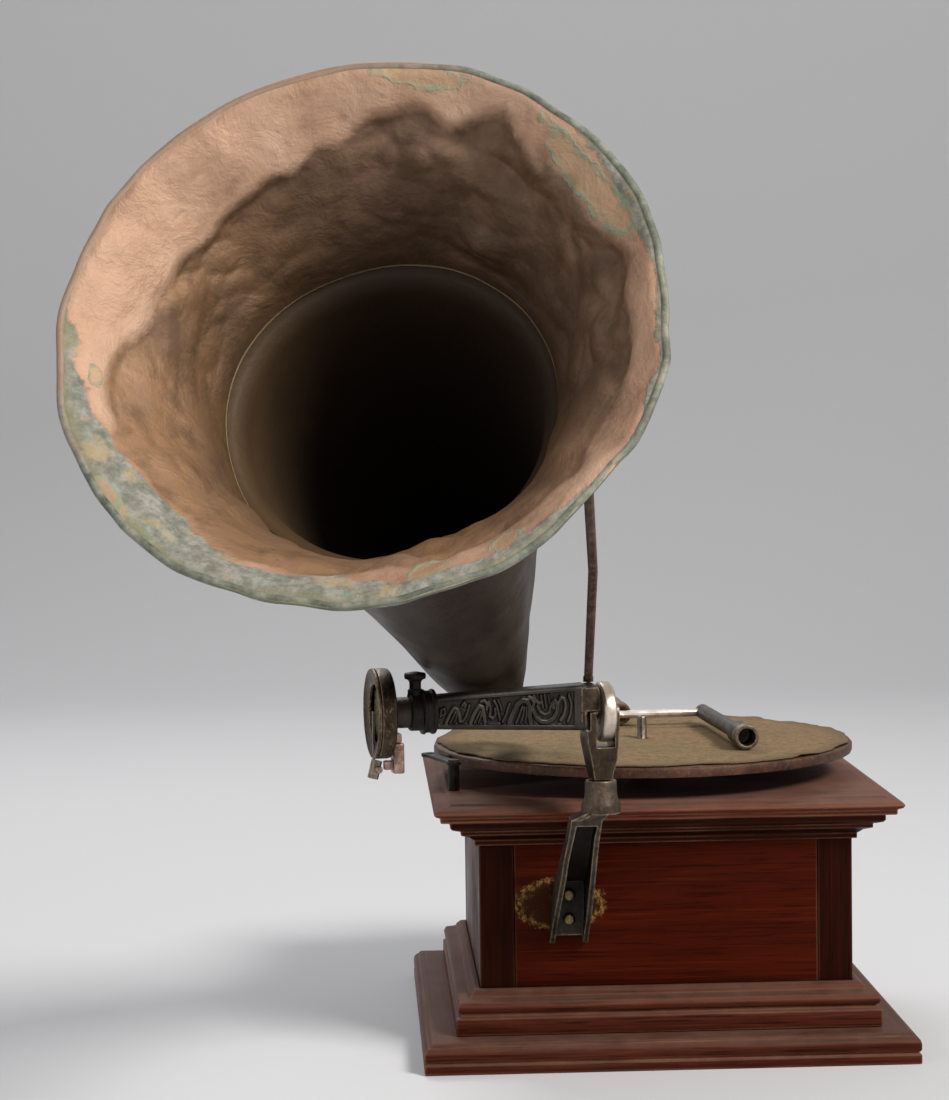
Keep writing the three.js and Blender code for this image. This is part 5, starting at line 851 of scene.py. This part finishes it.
# %% Lay the felt
felt_radius, felt_hole, felt_top, felt_thick = 0.1255, 0.0036, 0.1720, 0.0008
platter_middle = Vector((-0.0025, 0.0003, 0))
felt_rings = [(felt_hole, 0), (0.006, 0), (0.012, 0)] + [
    (0.012 + (felt_radius - 0.012) * (k / 44) ** 0.85, 0) for k in range(1, 45)]
felt_mesh = spun(felt_rings, 360)
for vert in felt_mesh.verts:
    out, around = math.hypot(vert.co.x, vert.co.y), math.atan2(vert.co.y, vert.co.x)
    toward = Vector((math.cos(around), math.sin(around), 0))
    torn = max(0.0, noise.noise(toward * 3.1 + Vector((5, 1, 3)))) * 0.007
    torn += max(0.0, noise.noise(toward * 11 + Vector((2, 9, 4))) - 0.1) * 0.0045
    torn += (noise.noise(toward * 46) + 0.6) * 0.0007
    vert.co -= toward * torn * stepped(out, felt_radius - 0.02, felt_radius)
    curl = max(0.0, noise.noise(toward * 5 + Vector((4, 4, 8)))) * 0.0022 * stepped(out, felt_radius - 0.012, felt_radius)
    vert.co.z = noise.noise(vert.co * 120) * 0.00018 + noise.noise(vert.co * 38) * 0.00018 + curl
if felt_mesh.faces[0].normal.z < 0:
    bmesh.ops.reverse_faces(felt_mesh, faces=felt_mesh.faces[:])
bmesh.ops.translate(felt_mesh, verts=felt_mesh.verts[:], vec=platter_middle + Vector((0, 0, felt_top)))
felt = keep("felt_sheet", felt_mesh, felt_cloth, "platter", "turntable_felt")
pile = felt.modifiers.new("thickness", "SOLIDIFY")
pile.thickness, pile.offset = felt_thick, -1
print("felt faces:", len(felt.data.polygons))

# %% [markdown]
# ## The brake and the bracket
# A small lever with an eye stops the turntable. The bracket is a channel of cast iron that
# carries the arm on the front of the case: its two flanges are rubbed pale and its hollow is
# painted near black with shade, from an ambient occlusion darkening. Both follow their solids closely, so softened
# copies are enough.

# %% Dress the brake and the bracket
dressed("brake_lever", black_japan, "brake", 0.0002)
pad_leather, tree, shader, place = begin("brake_leather")
grainy = speckle(tree, place, 500, 4, 0.65)
link(tree, ramp(tree, grainy, [(0.3, (0.03, 0.018, 0.010)), (0.6, (0.085, 0.052, 0.030))]), shader, "Base Color")
shader.inputs["Roughness"].default_value = 0.8
link(tree, relief(tree, grainy, 0.0003), shader, "Normal")
dressed("brake_pad", pad_leather, "brake", 0.0004)
socket_foot = 0.1535
bracket_mesh = solid_copy("arm_bracket")
bmesh.ops.bisect_plane(bracket_mesh, geom=bracket_mesh.verts[:] + bracket_mesh.edges[:] + bracket_mesh.faces[:],
                       plane_co=(0, 0, socket_foot), plane_no=(0, 0, 1), clear_outer=True)
bmesh.ops.holes_fill(bracket_mesh, edges=[e for e in bracket_mesh.edges if e.is_boundary], sides=0)
bmesh.ops.recalc_face_normals(bracket_mesh, faces=bracket_mesh.faces[:])
bracket = creased(keep("arm_bracket_finish", softened(bracket_mesh, 0.0009, 28, 3), bracket_iron, "case", "arm_bracket"), 50)
socket_iron = worn_metal("pale_socket", (0.030, 0.0185, 0.011), (0.062, 0.040, 0.025), (0.115, 0.080, 0.053),
                         (0.38, 0.30, 0.21), 0.5, (0.36, 0.6), 55, 0.15, 0.8, 0.00006, 0.0012)
socket_mesh = spun([(r / 1000, z / 1000) for r, z in (
    (4.85, 151.0), (10.9, 151.0), (11.0, 153.6), (10.8, 156.2), (9.5, 158.6), (8.95, 162.0), (8.8, 168.2), (8.3, 169.1),
    (7.4, 169.3), (4.85, 169.3))], 96, Matrix.Translation((-0.042, -0.158, 0)), closed=True)
socket_piece = creased(keep("bracket_socket", socket_mesh, socket_iron, "case"), 45)
print("bracket faces:", len(bracket.data.polygons))

for screw in ("bracket_screw_1", "bracket_screw_2"):
    dressed(screw, case_brass, "case", 0.0003)

# %% [markdown]
# ## The carved tone arm
# The arm is the piece that shows the maker's skill: a hollow iron casting, japanned black, with
# scrolls and leaves standing up in a sunk panel on each side. The solid has the panel and five
# plain scrolls. Here the body is made again from a fine grid that is wrapped round the arm's
# section, so that every point of the panel can be pushed to its own height. The scrolls are a
# list of strokes. A point's height is that of a round bar, by its distance from the nearest
# stroke, and each bar has a shallow groove beside it, as a carver's tool leaves.

# %% Place the arm's frame
knuckle_frame = Matrix.Translation((-0.042, -0.158, 0.207)) @ Matrix.Rotation(math.radians(190), 4, "Z")
arm_start, arm_end = 0.0099, 0.0935
arm_top_start, arm_top_end = 0.0162, 0.0127
arm_low_start, arm_low_end = -0.0093, -0.0056
arm_half_start, arm_half_end, arm_corner = 0.0080, 0.0070, 0.0024
panel_start, panel_margin, panel_depth = 0.0165, 0.0030, 0.0011
bore_level = 0.0038


def along_arm(start, end, x):
    return start + (end - start) * (x - arm_start) / (arm_end - arm_start)


print("arm length:", arm_end - arm_start)

# %% Draw the ornament's strokes
# Each stroke is a list of points: first across the panel from the collar to the knuckle, from 0
# to 100, then up, from 0 to 16. After the points come the half width and the height share.
ornament = (
    ([(1, 5), (1.5, 10), (4, 11), (4.5, 7), (2.5, 6)], 0.55, 0.7),
    ([(5, 1), (8, 7), (11, 11), (13.5, 10), (15, 6), (15.5, 2)], 0.85, 1.0),
    ([(8, 1), (10.5, 5), (12, 8)], 0.5, 0.7), ([(11, 1.5), (12.5, 4), (13.4, 7)], 0.45, 0.6),
    ([(17, 12), (18.6, 14), (20, 12.5), (18.8, 11)], 0.55, 0.8), ([(17.5, 2), (20, 5.5), (21.5, 9), (22.5, 12)], 0.6, 0.8),
    ([(23, 1), (26, 7), (29.5, 11.5), (32, 10.5), (33, 6), (33.6, 1.5)], 0.9, 1.0),
    ([(26, 1), (28.5, 5), (30, 8)], 0.5, 0.7), ([(29, 1.2), (30.6, 4.5), (31.4, 7.5)], 0.45, 0.6),
    ([(31, 14), (33.5, 14.5), (35.5, 12), (35, 9)], 0.7, 0.9),
    ([(36.5, 13.5), (38, 9), (37, 5), (39.4, 3.6), (41.5, 6), (41, 9)], 0.65, 0.95),
    ([(40.5, 13.8), (42.5, 11), (43.6, 7), (44.6, 3)], 0.6, 0.9), ([(43.5, 14), (45.2, 11), (46, 8)], 0.5, 0.7),
    ([(46.5, 1.5), (49, 5), (50.5, 9), (52, 11.5)], 0.55, 0.8),
    ([(51.5, 1), (54, 6), (57.5, 11), (61.5, 13.2), (65, 12.6), (67, 9), (66.8, 4.5), (67.4, 1.2)], 1.0, 1.05),
    ([(56.5, 1), (59, 5), (61.2, 9.4)], 0.55, 0.75), ([(60, 1), (62, 5), (62.8, 9.6)], 0.5, 0.7),
    ([(63.4, 1.2), (64.3, 5), (64.4, 9)], 0.45, 0.65),
    ([(66, 14.6), (68.5, 13.8), (70, 11.4), (69, 9)], 0.75, 0.95), ([(70, 14.8), (71.6, 12.4), (73.6, 11), (76, 11.6)], 0.65, 0.9),
    ([(69.5, 7.5), (71.5, 4), (75, 1.9), (79.5, 1.6), (84, 3.2), (87, 6.5), (87.6, 10), (85.4, 12), (83.4, 10.4),
      (84.6, 8.6)], 0.85, 1.05),
    ([(72.5, 9.6), (74.6, 6.6), (78, 5.2), (81.4, 6.4), (82.2, 9)], 0.6, 0.85),
    ([(75.2, 14.8), (75.8, 11.8), (76.8, 8.8)], 0.5, 0.75), ([(78, 15), (78.5, 12), (79, 9)], 0.5, 0.75),
    ([(80.8, 14.8), (81.2, 12.6), (81.4, 11)], 0.45, 0.7),
    ([(89.5, 2.4), (92.2, 5), (93.6, 9), (92.6, 12.6), (90, 13.4), (88.8, 11.6)], 0.7, 0.95),
    ([(95, 1.6), (97.2, 5.5), (97.8, 10), (96, 14)], 0.6, 0.8),
)


def stroke_height(px, py):
    """The ornament's height share at a place in the panel."""
    best, groove = 0.0, 0.0
    for points, half_width, share in ornament:
        xs = [p[0] for p in points]
        if px < min(xs) - 3 or px > max(xs) + 3:
            continue
        near = 9.0
        for (x0, y0), (x1, y1) in zip(points, points[1:]):
            run, rise = x1 - x0, y1 - y0
            t = min(1.0, max(0.0, ((px - x0) * run + (py - y0) * rise) / (run * run + rise * rise)))
            near = min(near, math.hypot(px - x0 - t * run, py - y0 - t * rise))
        if near < half_width * 1.75:
            best = max(best, share * math.sqrt(max(0.0, 1 - (near / (half_width * 1.75)) ** 2)))
        groove = max(groove, 1 - abs(near - half_width * 2.2) / 0.5)
    return best - 0.25 * max(0.0, groove) * (best == 0)


print("strokes:", len(ornament))

# %% Walk round the arm's section
arm_rows, face_steps, edge_steps, bend_steps = 300, 46, 12, 5
section_corners = ((1, 1, face_steps), (-1, 1, edge_steps), (-1, -1, face_steps), (1, -1, edge_steps))
ring_steps = sum(steps + bend_steps for _, _, steps in section_corners)


def section_point(step, half, low, high):
    """The place on the rounded section, and the side whose panel it may lie in."""
    last_y, last_z = half - arm_corner, low + arm_corner
    for index, (side, rise, steps) in enumerate(section_corners):
        middle_y = side * (half - arm_corner)
        middle_z = high - arm_corner if rise > 0 else low + arm_corner
        first = index * math.pi / 2
        if step < steps:
            share = step / steps
            y = last_y + (middle_y - last_y) * share + arm_corner * math.cos(first)
            z = last_z + (middle_z - last_z) * share + arm_corner * math.sin(first)
            return y, z, (1, 0, -1, 0)[index]
        step -= steps
        if step < bend_steps:
            angle = first + math.pi / 2 * step / bend_steps
            return middle_y + arm_corner * math.cos(angle), middle_z + arm_corner * math.sin(angle), 0
        step -= bend_steps
        last_y, last_z = middle_y, middle_z


print("section points:", ring_steps)

# %% Mix the carved japan
# The grid's own height goes with it as an attribute, so that the raised strokes can be rubbed
# pale and the ground between them kept dark.
carved_japan, tree, shader, place = begin("carved_japan")
rise = put(tree, "Attribute", attribute_name="rise").outputs["Fac"]
clouds = speckle(tree, place, 90, 6, 0.66)
flecks = speckle(tree, place, 700, 4, 0.7)
ground = ramp(tree, clouds, [(0.35, (0.006, 0.0044, 0.003)), (0.62, (0.016, 0.012, 0.0085))])
rubbed = ramp(tree, clouds, [(0.35, (0.030, 0.023, 0.017)), (0.62, (0.062, 0.049, 0.038))])
plain = ramp(tree, clouds, [(0.35, (0.013, 0.010, 0.0075)), (0.62, (0.034, 0.027, 0.021))])
sunk = blended(tree, level(tree, rise, 0.25, 0.85), ground, rubbed)
link(tree, blended(tree, level(tree, rise, 0.985, 0.999), sunk, plain), shader, "Base Color")
shader.inputs["Metallic"].default_value = 0.3
shader.inputs["Specular IOR Level"].default_value = 0.3
link(tree, level(tree, flecks, 0.3, 0.7, 0.30, 0.50), shader, "Roughness")
link(tree, relief(tree, flecks, 0.00008), shader, "Normal")

# %% Wrap the grid round the arm
arm_mesh = bmesh.new()
rise_layer = arm_mesh.verts.layers.float.new("rise")
bmesh.ops.create_grid(arm_mesh, x_segments=arm_rows, y_segments=ring_steps, size=0.5)
panel_end = arm_end - 0.0014
fade = 0.0003
for vert in arm_mesh.verts:
    x = arm_start + (arm_end - arm_start) * (vert.co.x + 0.5)
    half = along_arm(arm_half_start, arm_half_end, x)
    low, high = along_arm(arm_low_start, arm_low_end, x), along_arm(arm_top_start, arm_top_end, x)
    height, inside = 1.0, 0.0
    y, z, side = section_point(round((vert.co.y + 0.5) * ring_steps) % ring_steps, half, low, high)
    if side:
        across = (panel_end - x) / (panel_end - panel_start) * 100
        panel_low, panel_high = low + panel_margin, high - panel_margin
        inside = stepped(x, panel_start - fade, panel_start + fade) * (1 - stepped(x, panel_end - fade, panel_end + fade))
        inside *= stepped(z, panel_low - fade, panel_low + fade) * (1 - stepped(z, panel_high - fade, panel_high + fade))
        if inside > 0:
            height = stroke_height(across, (z - panel_low) / (panel_high - panel_low) * 16)
            hammered = noise.noise(Vector((x, side, z)) * 900) * 0.06
            y -= side * panel_depth * inside * (1 - 1.2 * height - hammered)
        y += side * noise.noise(Vector((x, side * 3, z)) * 240) * 0.00006
    vert.co = (x, y, z)
    vert[rise_layer] = 1 - inside * (1 - height)
bmesh.ops.remove_doubles(arm_mesh, verts=arm_mesh.verts[:], dist=0.000001)
bmesh.ops.holes_fill(arm_mesh, edges=[e for e in arm_mesh.edges if e.is_boundary], sides=0)
bmesh.ops.recalc_face_normals(arm_mesh, faces=arm_mesh.faces[:])
bmesh.ops.transform(arm_mesh, matrix=knuckle_frame, verts=arm_mesh.verts[:])
arm_body = creased(keep("carved_arm", arm_mesh, carved_japan, "arm", "tone_arm"), 60)
print("arm faces:", len(arm_body.data.polygons))

# %% [markdown]
# ## Turned parts
# The lathe made most of what is left: the collar, the thumb screw, the soundbox, the disc of the
# knuckle, the crank and the rods. Each is a profile of radius against length, spun with many
# steps, whose sharp rings are then rounded by a bevel. The solids underneath have few sides, so
# the finer turning is what makes their outline round.


# %% Turn a part
def turned(name, profile, steps, matrix, finish, body, *nodes, closed=True, edge=0.0003, crease=40):
    """A spun part with rounded rings. The profile is in metres, and the matrix places its axis."""
    mesh = spun(profile, steps, closed=closed)
    if edge:
        softened(mesh, edge, 25, 2)
    bmesh.ops.transform(mesh, matrix=matrix, verts=mesh.verts[:])
    return creased(keep(name, mesh, finish, body, *nodes), crease)


def millimetres(pairs):
    return [(radius / 1000, length / 1000) for radius, length in pairs]


def filled(pairs):
    """The same for a profile that starts and ends on the axis."""
    return [(max(radius, 0.0) / 1000, length / 1000) for radius, length in pairs]


to_x = Matrix.Rotation(math.radians(90), 4, "Y")
on_pin = knuckle_frame @ to_x
on_bore = knuckle_frame @ Matrix.Translation((0, 0, bore_level)) @ to_x
print("axes ready")

# %% Turn the collar and the clamp
turned("arm_collar", millimetres([
    (8.8, 93.2), (11.6, 93.2), (12.3, 93.9), (12.3, 95.3), (11.5, 95.9), (11.5, 98.6), (12.3, 99.2), (12.3, 100.4),
    (11.7, 101), (10.2, 101), (10.2, 106.6), (9.6, 107.5), (8.8, 107.5)]), 96, on_bore, black_japan, "arm")
thumb_x = 0.10373
boss_place = knuckle_frame @ Matrix.Translation((thumb_x, 0, 0))
turned("screw_boss", millimetres([
    (3.35, 12.7), (4.6, 12.7), (4.2, 14.0), (4.2, 15.6), (3.8, 16.4), (3.35, 16.4)]), 48, boss_place, black_japan, "arm")
thumb = spun(filled([(0, 12.6), (3.2, 12.6), (3.2, 19.6), (3.5, 20.8), (4.6, 21.8), (5.6, 22.0), (5.9, 22.5), (5.9, 24.6),
                     (5.5, 25.1), (3.4, 25.5), (1.6, 25.85), (0, 25.9)]), 144)
for vert in thumb.verts:
    out, around = math.hypot(vert.co.x, vert.co.y), math.atan2(vert.co.y, vert.co.x)
    if out > 0.0052:
        vert.co.xy *= 1 - 0.035 * (0.5 - 0.5 * math.cos(around * 24))
bmesh.ops.transform(thumb, matrix=boss_place, verts=thumb.verts[:])
creased(keep("turned_thumb_screw", thumb, black_japan, "clamp_screw", "thumb_screw"), 50)
print("collar, boss and screw turned")

# %% Cut the knuckle end from the solid
knuckle_end = solid_copy("tone_arm")
bmesh.ops.bisect_plane(knuckle_end, geom=knuckle_end.verts[:] + knuckle_end.edges[:] + knuckle_end.faces[:],
                       plane_co=knuckle_frame @ Vector((0.0125, 0, 0)),
                       plane_no=(knuckle_frame.to_3x3() @ Vector((1, 0, 0))), clear_outer=True)
bmesh.ops.holes_fill(knuckle_end, edges=[e for e in knuckle_end.edges if e.is_boundary], sides=0)
bmesh.ops.recalc_face_normals(knuckle_end, faces=knuckle_end.faces[:])
softened(knuckle_end, 0.0012, 32, 3)
knuckle = creased(keep("arm_knuckle", knuckle_end, knuckle_bronze, "arm"), 50)
print("knuckle faces:", len(knuckle.data.polygons))

# %% Turn the pin, the disc and the yoke
turned("turned_disc", millimetres([
    (3.0, -5.8), (15.2, -5.8), (16.6, -4.6), (16.6, 0.4), (15.2, 1.6), (12.6, 1.6), (12.2, 1.35), (6.4, 1.35),
    (6.0, 1.6), (3.0, 1.6)]), 160, on_pin, disc_nickel, "arm", "knuckle_disc", edge=0.00025)
dressed("pivot_pin", dull_nickel, "yoke", 0.0003)
yoke = dressed("yoke", cast_nickel, "yoke", 0.0011, 24, 3)
print("yoke faces:", len(yoke.data.polygons))

# %% [markdown]
# ## The soundbox
# A shallow brass drum holds a mica disc between rubber rings. Its thick rolled rim is a dull gold
# brown, and the slope inside the rim catches a bright line. A lever runs from the disc's middle
# down through a notch in the rim to the chuck for the needle. The case and the rim are turned,
# and a Boolean with a small block cuts the notch. The result is then made a plain mesh.


# %% Cut with a block
def notched(piece, low, high, matrix):
    """Cuts a block out of a piece. The corners are in metres, in the matrix's frame."""
    block = bmesh.new()
    bmesh.ops.create_cube(block, size=1)
    bmesh.ops.scale(block, verts=block.verts[:], vec=[b - a for a, b in zip(low, high)])
    bmesh.ops.translate(block, verts=block.verts[:], vec=[(a + b) / 2 for a, b in zip(low, high)])
    bmesh.ops.transform(block, matrix=matrix, verts=block.verts[:])
    cutter_mesh = bpy.data.meshes.new("cutter")
    block.to_mesh(cutter_mesh)
    block.free()
    cutter = bpy.data.objects.new("cutter", cutter_mesh)
    scene.collection.objects.link(cutter)
    cut = piece.modifiers.new("notch", "BOOLEAN")
    cut.operation, cut.solver, cut.object = "DIFFERENCE", "EXACT", cutter
    bpy.context.view_layer.update()
    shaped = bpy.data.meshes.new_from_object(piece.evaluated_get(bpy.context.evaluated_depsgraph_get()))
    piece.modifiers.remove(cut)
    bpy.data.objects.remove(cutter)
    piece.data = shaped
    return creased(piece, 40)


# %% Turn the soundbox
tube_fibre = worn_metal("dark_tube", (0.006, 0.003, 0.0015), (0.018, 0.009, 0.005), (0.045, 0.022, 0.013),
                        (0.16, 0.085, 0.055), 0.1, (0.36, 0.58), 120, 0.2, 0.5)
turned("turned_tube", millimetres([(5.3, 95), (8.2, 95), (8.45, 95.4), (8.45, 116.6), (8.2, 117), (5.3, 117)]), 80,
       on_bore, tube_fibre, "arm", "coupling_tube")
turned("turned_case", millimetres([
    (5.3, 117.3), (10.4, 117.3), (10.8, 117.9), (20.6, 117.7), (22.6, 117.9), (24.0, 118.8), (24.5, 120.2),
    (24.5, 125.9), (24.2, 126.1), (22.9, 126.1), (22.9, 118.95), (5.3, 118.95)]), 160, on_bore, sound_brass,
       "soundbox", "soundbox_case", edge=0.0002)
ring = turned("turned_ring", millimetres([
    (22.9, 126.5), (24.2, 126.5), (24.5, 126.8), (24.5, 127.5), (24.1, 128.2), (23.3, 128.4), (22.7, 128.2),
    (21.6, 127.6), (19.6, 127.15), (17.4, 126.75), (16.2, 126.6), (16.0, 126.3), (16.0, 125.4), (22.6, 125.4)]),
    160, on_bore, sound_brass, "soundbox", "soundbox_ring", edge=0.00015)
notched(ring, (0.1263, -0.0014, -0.0222), (0.1300, 0.0014, -0.0122), knuckle_frame)
print("ring faces:", len(ring.data.polygons))

# %% Shape the lug that holds the block
lug_mesh = bmesh.new()
bmesh.ops.create_cube(lug_mesh, size=1)
bmesh.ops.scale(lug_mesh, verts=lug_mesh.verts[:], vec=(0.0056, 0.009, 0.005))
bmesh.ops.translate(lug_mesh, verts=lug_mesh.verts[:], vec=(0.1151, 0, -0.0097))
softened(lug_mesh, 0.0009, 30, 3)
bmesh.ops.transform(lug_mesh, matrix=knuckle_frame, verts=lug_mesh.verts[:])
soundbox_lug = creased(keep("soundbox_lug", lug_mesh, lug_copper, "soundbox"), 50)
block = dressed("stylus_block", lug_copper, "soundbox", 0.0009, 30, 3)
dressed("stylus_lever", dull_nickel, "stylus", 0.0002)
dressed("needle_clamp", lug_copper, "needle_screw", 0.0003)
print("block faces:", len(block.data.polygons))

# %% Split the mica and age the rubber
mica, tree, shader, place = begin("split_mica")
flakes = speckle(tree, place, 120, 6, 0.7, warp=1.2)
link(tree, ramp(tree, flakes, [(0.35, (0.34, 0.27, 0.17)), (0.5, (0.48, 0.40, 0.28)), (0.65, (0.60, 0.53, 0.40))]),
     shader, "Base Color")
link(tree, level(tree, flakes, 0.3, 0.7, 0.12, 0.3), shader, "Roughness")
shader.inputs["Coat Weight"].default_value = 0.5
link(tree, relief(tree, flakes, 0.0001), shader, "Normal")
rubber, tree, shader, place = begin("perished_rubber")
cracks = speckle(tree, place, 600, 5, 0.75, warp=0.8)
link(tree, ramp(tree, cracks, [(0.4, (0.008, 0.0075, 0.007)), (0.6, (0.028, 0.025, 0.022))]), shader, "Base Color")
shader.inputs["Roughness"].default_value = 0.82
link(tree, relief(tree, cracks, 0.0002), shader, "Normal")
turned("mica_disc", filled([(0, 122.6), (22.5, 122.6), (22.5, 123.2), (0, 123.2)]), 128, on_bore, mica, "soundbox",
       "diaphragm", closed=False, edge=0.00008)
for gasket, start, end in (("gasket_front", 123.5, 125.1), ("gasket_rear", 119.2, 122.3)):
    middle, reach = (start + end) / 2, (end - start) / 2
    profile = [(21.3 + 1.3 * math.cos(a), middle + reach * math.sin(a)) for a in [math.tau * k / 12 for k in range(12)]]
    turned(gasket + "_ring", millimetres(profile), 96, on_bore, rubber, "soundbox", gasket, edge=0)
print("mica and rubber ready")

# %% [markdown]
# ## The crank
# The crank has been drawn out of the case and lies on the felt: a black shaft with a nickel
# ferrule at its far end, a bright rod bent off it, and a turned grip whose brown lacquer has
# worn. Its parts lie in one frame, level, an eighth of a metre back on the felt.

# %% Turn the crank
crank_frame = Matrix.Translation((0.043, 0.059, 0.1801)) @ Matrix.Rotation(math.radians(-86.1), 4, "Z")
on_shaft = crank_frame @ to_x
on_grip = crank_frame @ Matrix.Translation((0, -0.053, 0)) @ to_x
grip_wood, tree, shader, place = begin("worn_grip_wood")
grain = speckle(tree, place, 130, 5, 0.65, stretch=(1, 0.12, 1), warp=0.3)
lacquer = speckle(tree, place, 70, 6, 0.66)
browns = ramp(tree, grain, [(0.3, (0.050, 0.022, 0.012)), (0.5, (0.120, 0.062, 0.036)), (0.68, (0.20, 0.115, 0.070))])
link(tree, blended(tree, level(tree, lacquer, 0.52, 0.66, 0, 0.7), browns, (0.27, 0.19, 0.135)), shader, "Base Color")
link(tree, level(tree, lacquer, 0.4, 0.65, 0.34, 0.62), shader, "Roughness")
link(tree, relief(tree, grain, 0.00025), shader, "Normal")
turned("turned_shaft", filled([
    (0, -6.0), (3.6, -6.0), (4.65, -5.1), (4.65, 84.8), (5.1, 94), (6.2, 101.5), (6.8, 104), (6.8, 120.7), (5.25, 120.7),
    (5.25, 112.1), (0, 112.1)]), 72, on_shaft, shaft_black, "crank", "crank_shaft", closed=False)
turned("turned_ferrule", millimetres([
    (5.2, 121), (7.0, 121), (7.4, 122.2), (7.4, 128.9), (7.0, 130), (5.2, 130)]), 80, on_shaft, ferrule_nickel, "crank",
    "crank_ferrule")
turned("turned_grip", millimetres([
    (3.05, -57.7), (5.7, -57.7), (6.6, -56.6), (7.1, -53.3), (7.6, -47), (7.7, -42.3), (7.45, -34), (7.16, -24.7),
    (7.25, -16), (7.47, -10.4), (7.3, -5.4), (6.93, -2.7), (5.1, -2.7), (3.05, -5.7)]), 80, on_grip, grip_wood, "grip",
    "crank_grip", edge=0.0005)
dressed("crank_rod", rod_nickel, "crank", 0.0006, 30, 3)
print("crank turned")

# %% [markdown]
# ## The bend, the rod and the fittings
# The horn's tail turns down behind the arm in a cast bend. A thin rusted rod holds the bell up.
# Both are round bars along a bent path, so a softened copy with smooth shading is enough.

# %% Dress the bend, the rod and the fittings
elbow = dressed("horn_elbow", elbow_bronze, "arm", 0.0008, 45, 2)
rod_piece = dressed("support_rod", rusted_rod, "arm", 0.0003, 50, 2)
dressed("horn_lug", case_brass, "arm", 0.0004)
dressed("winding_escutcheon", case_brass, "case", 0.0004)
print("rod faces:", len(rod_piece.data.polygons))

# %% Finish the works inside
inner_finishes = {
    "motor_bedplate": motor_iron, "motor_lower_plate": motor_iron, "spring_barrel": gear_brass,
    "mainspring": oiled_steel, "intermediate_wheel": gear_brass, "worm_wheel": gear_brass,
    "governor_shaft": oiled_steel, "governor_disc": case_brass, "governor_weight_1": case_brass,
    "governor_weight_2": case_brass, "governor_weight_3": case_brass, "winding_arbor": oiled_steel,
    "winding_shaft": oiled_steel, "ratchet_click": oiled_steel}
for node, finish in inner_finishes.items():
    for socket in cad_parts[node].material_slots:
        socket.material = finish
print("inner pieces:", len(inner_finishes))
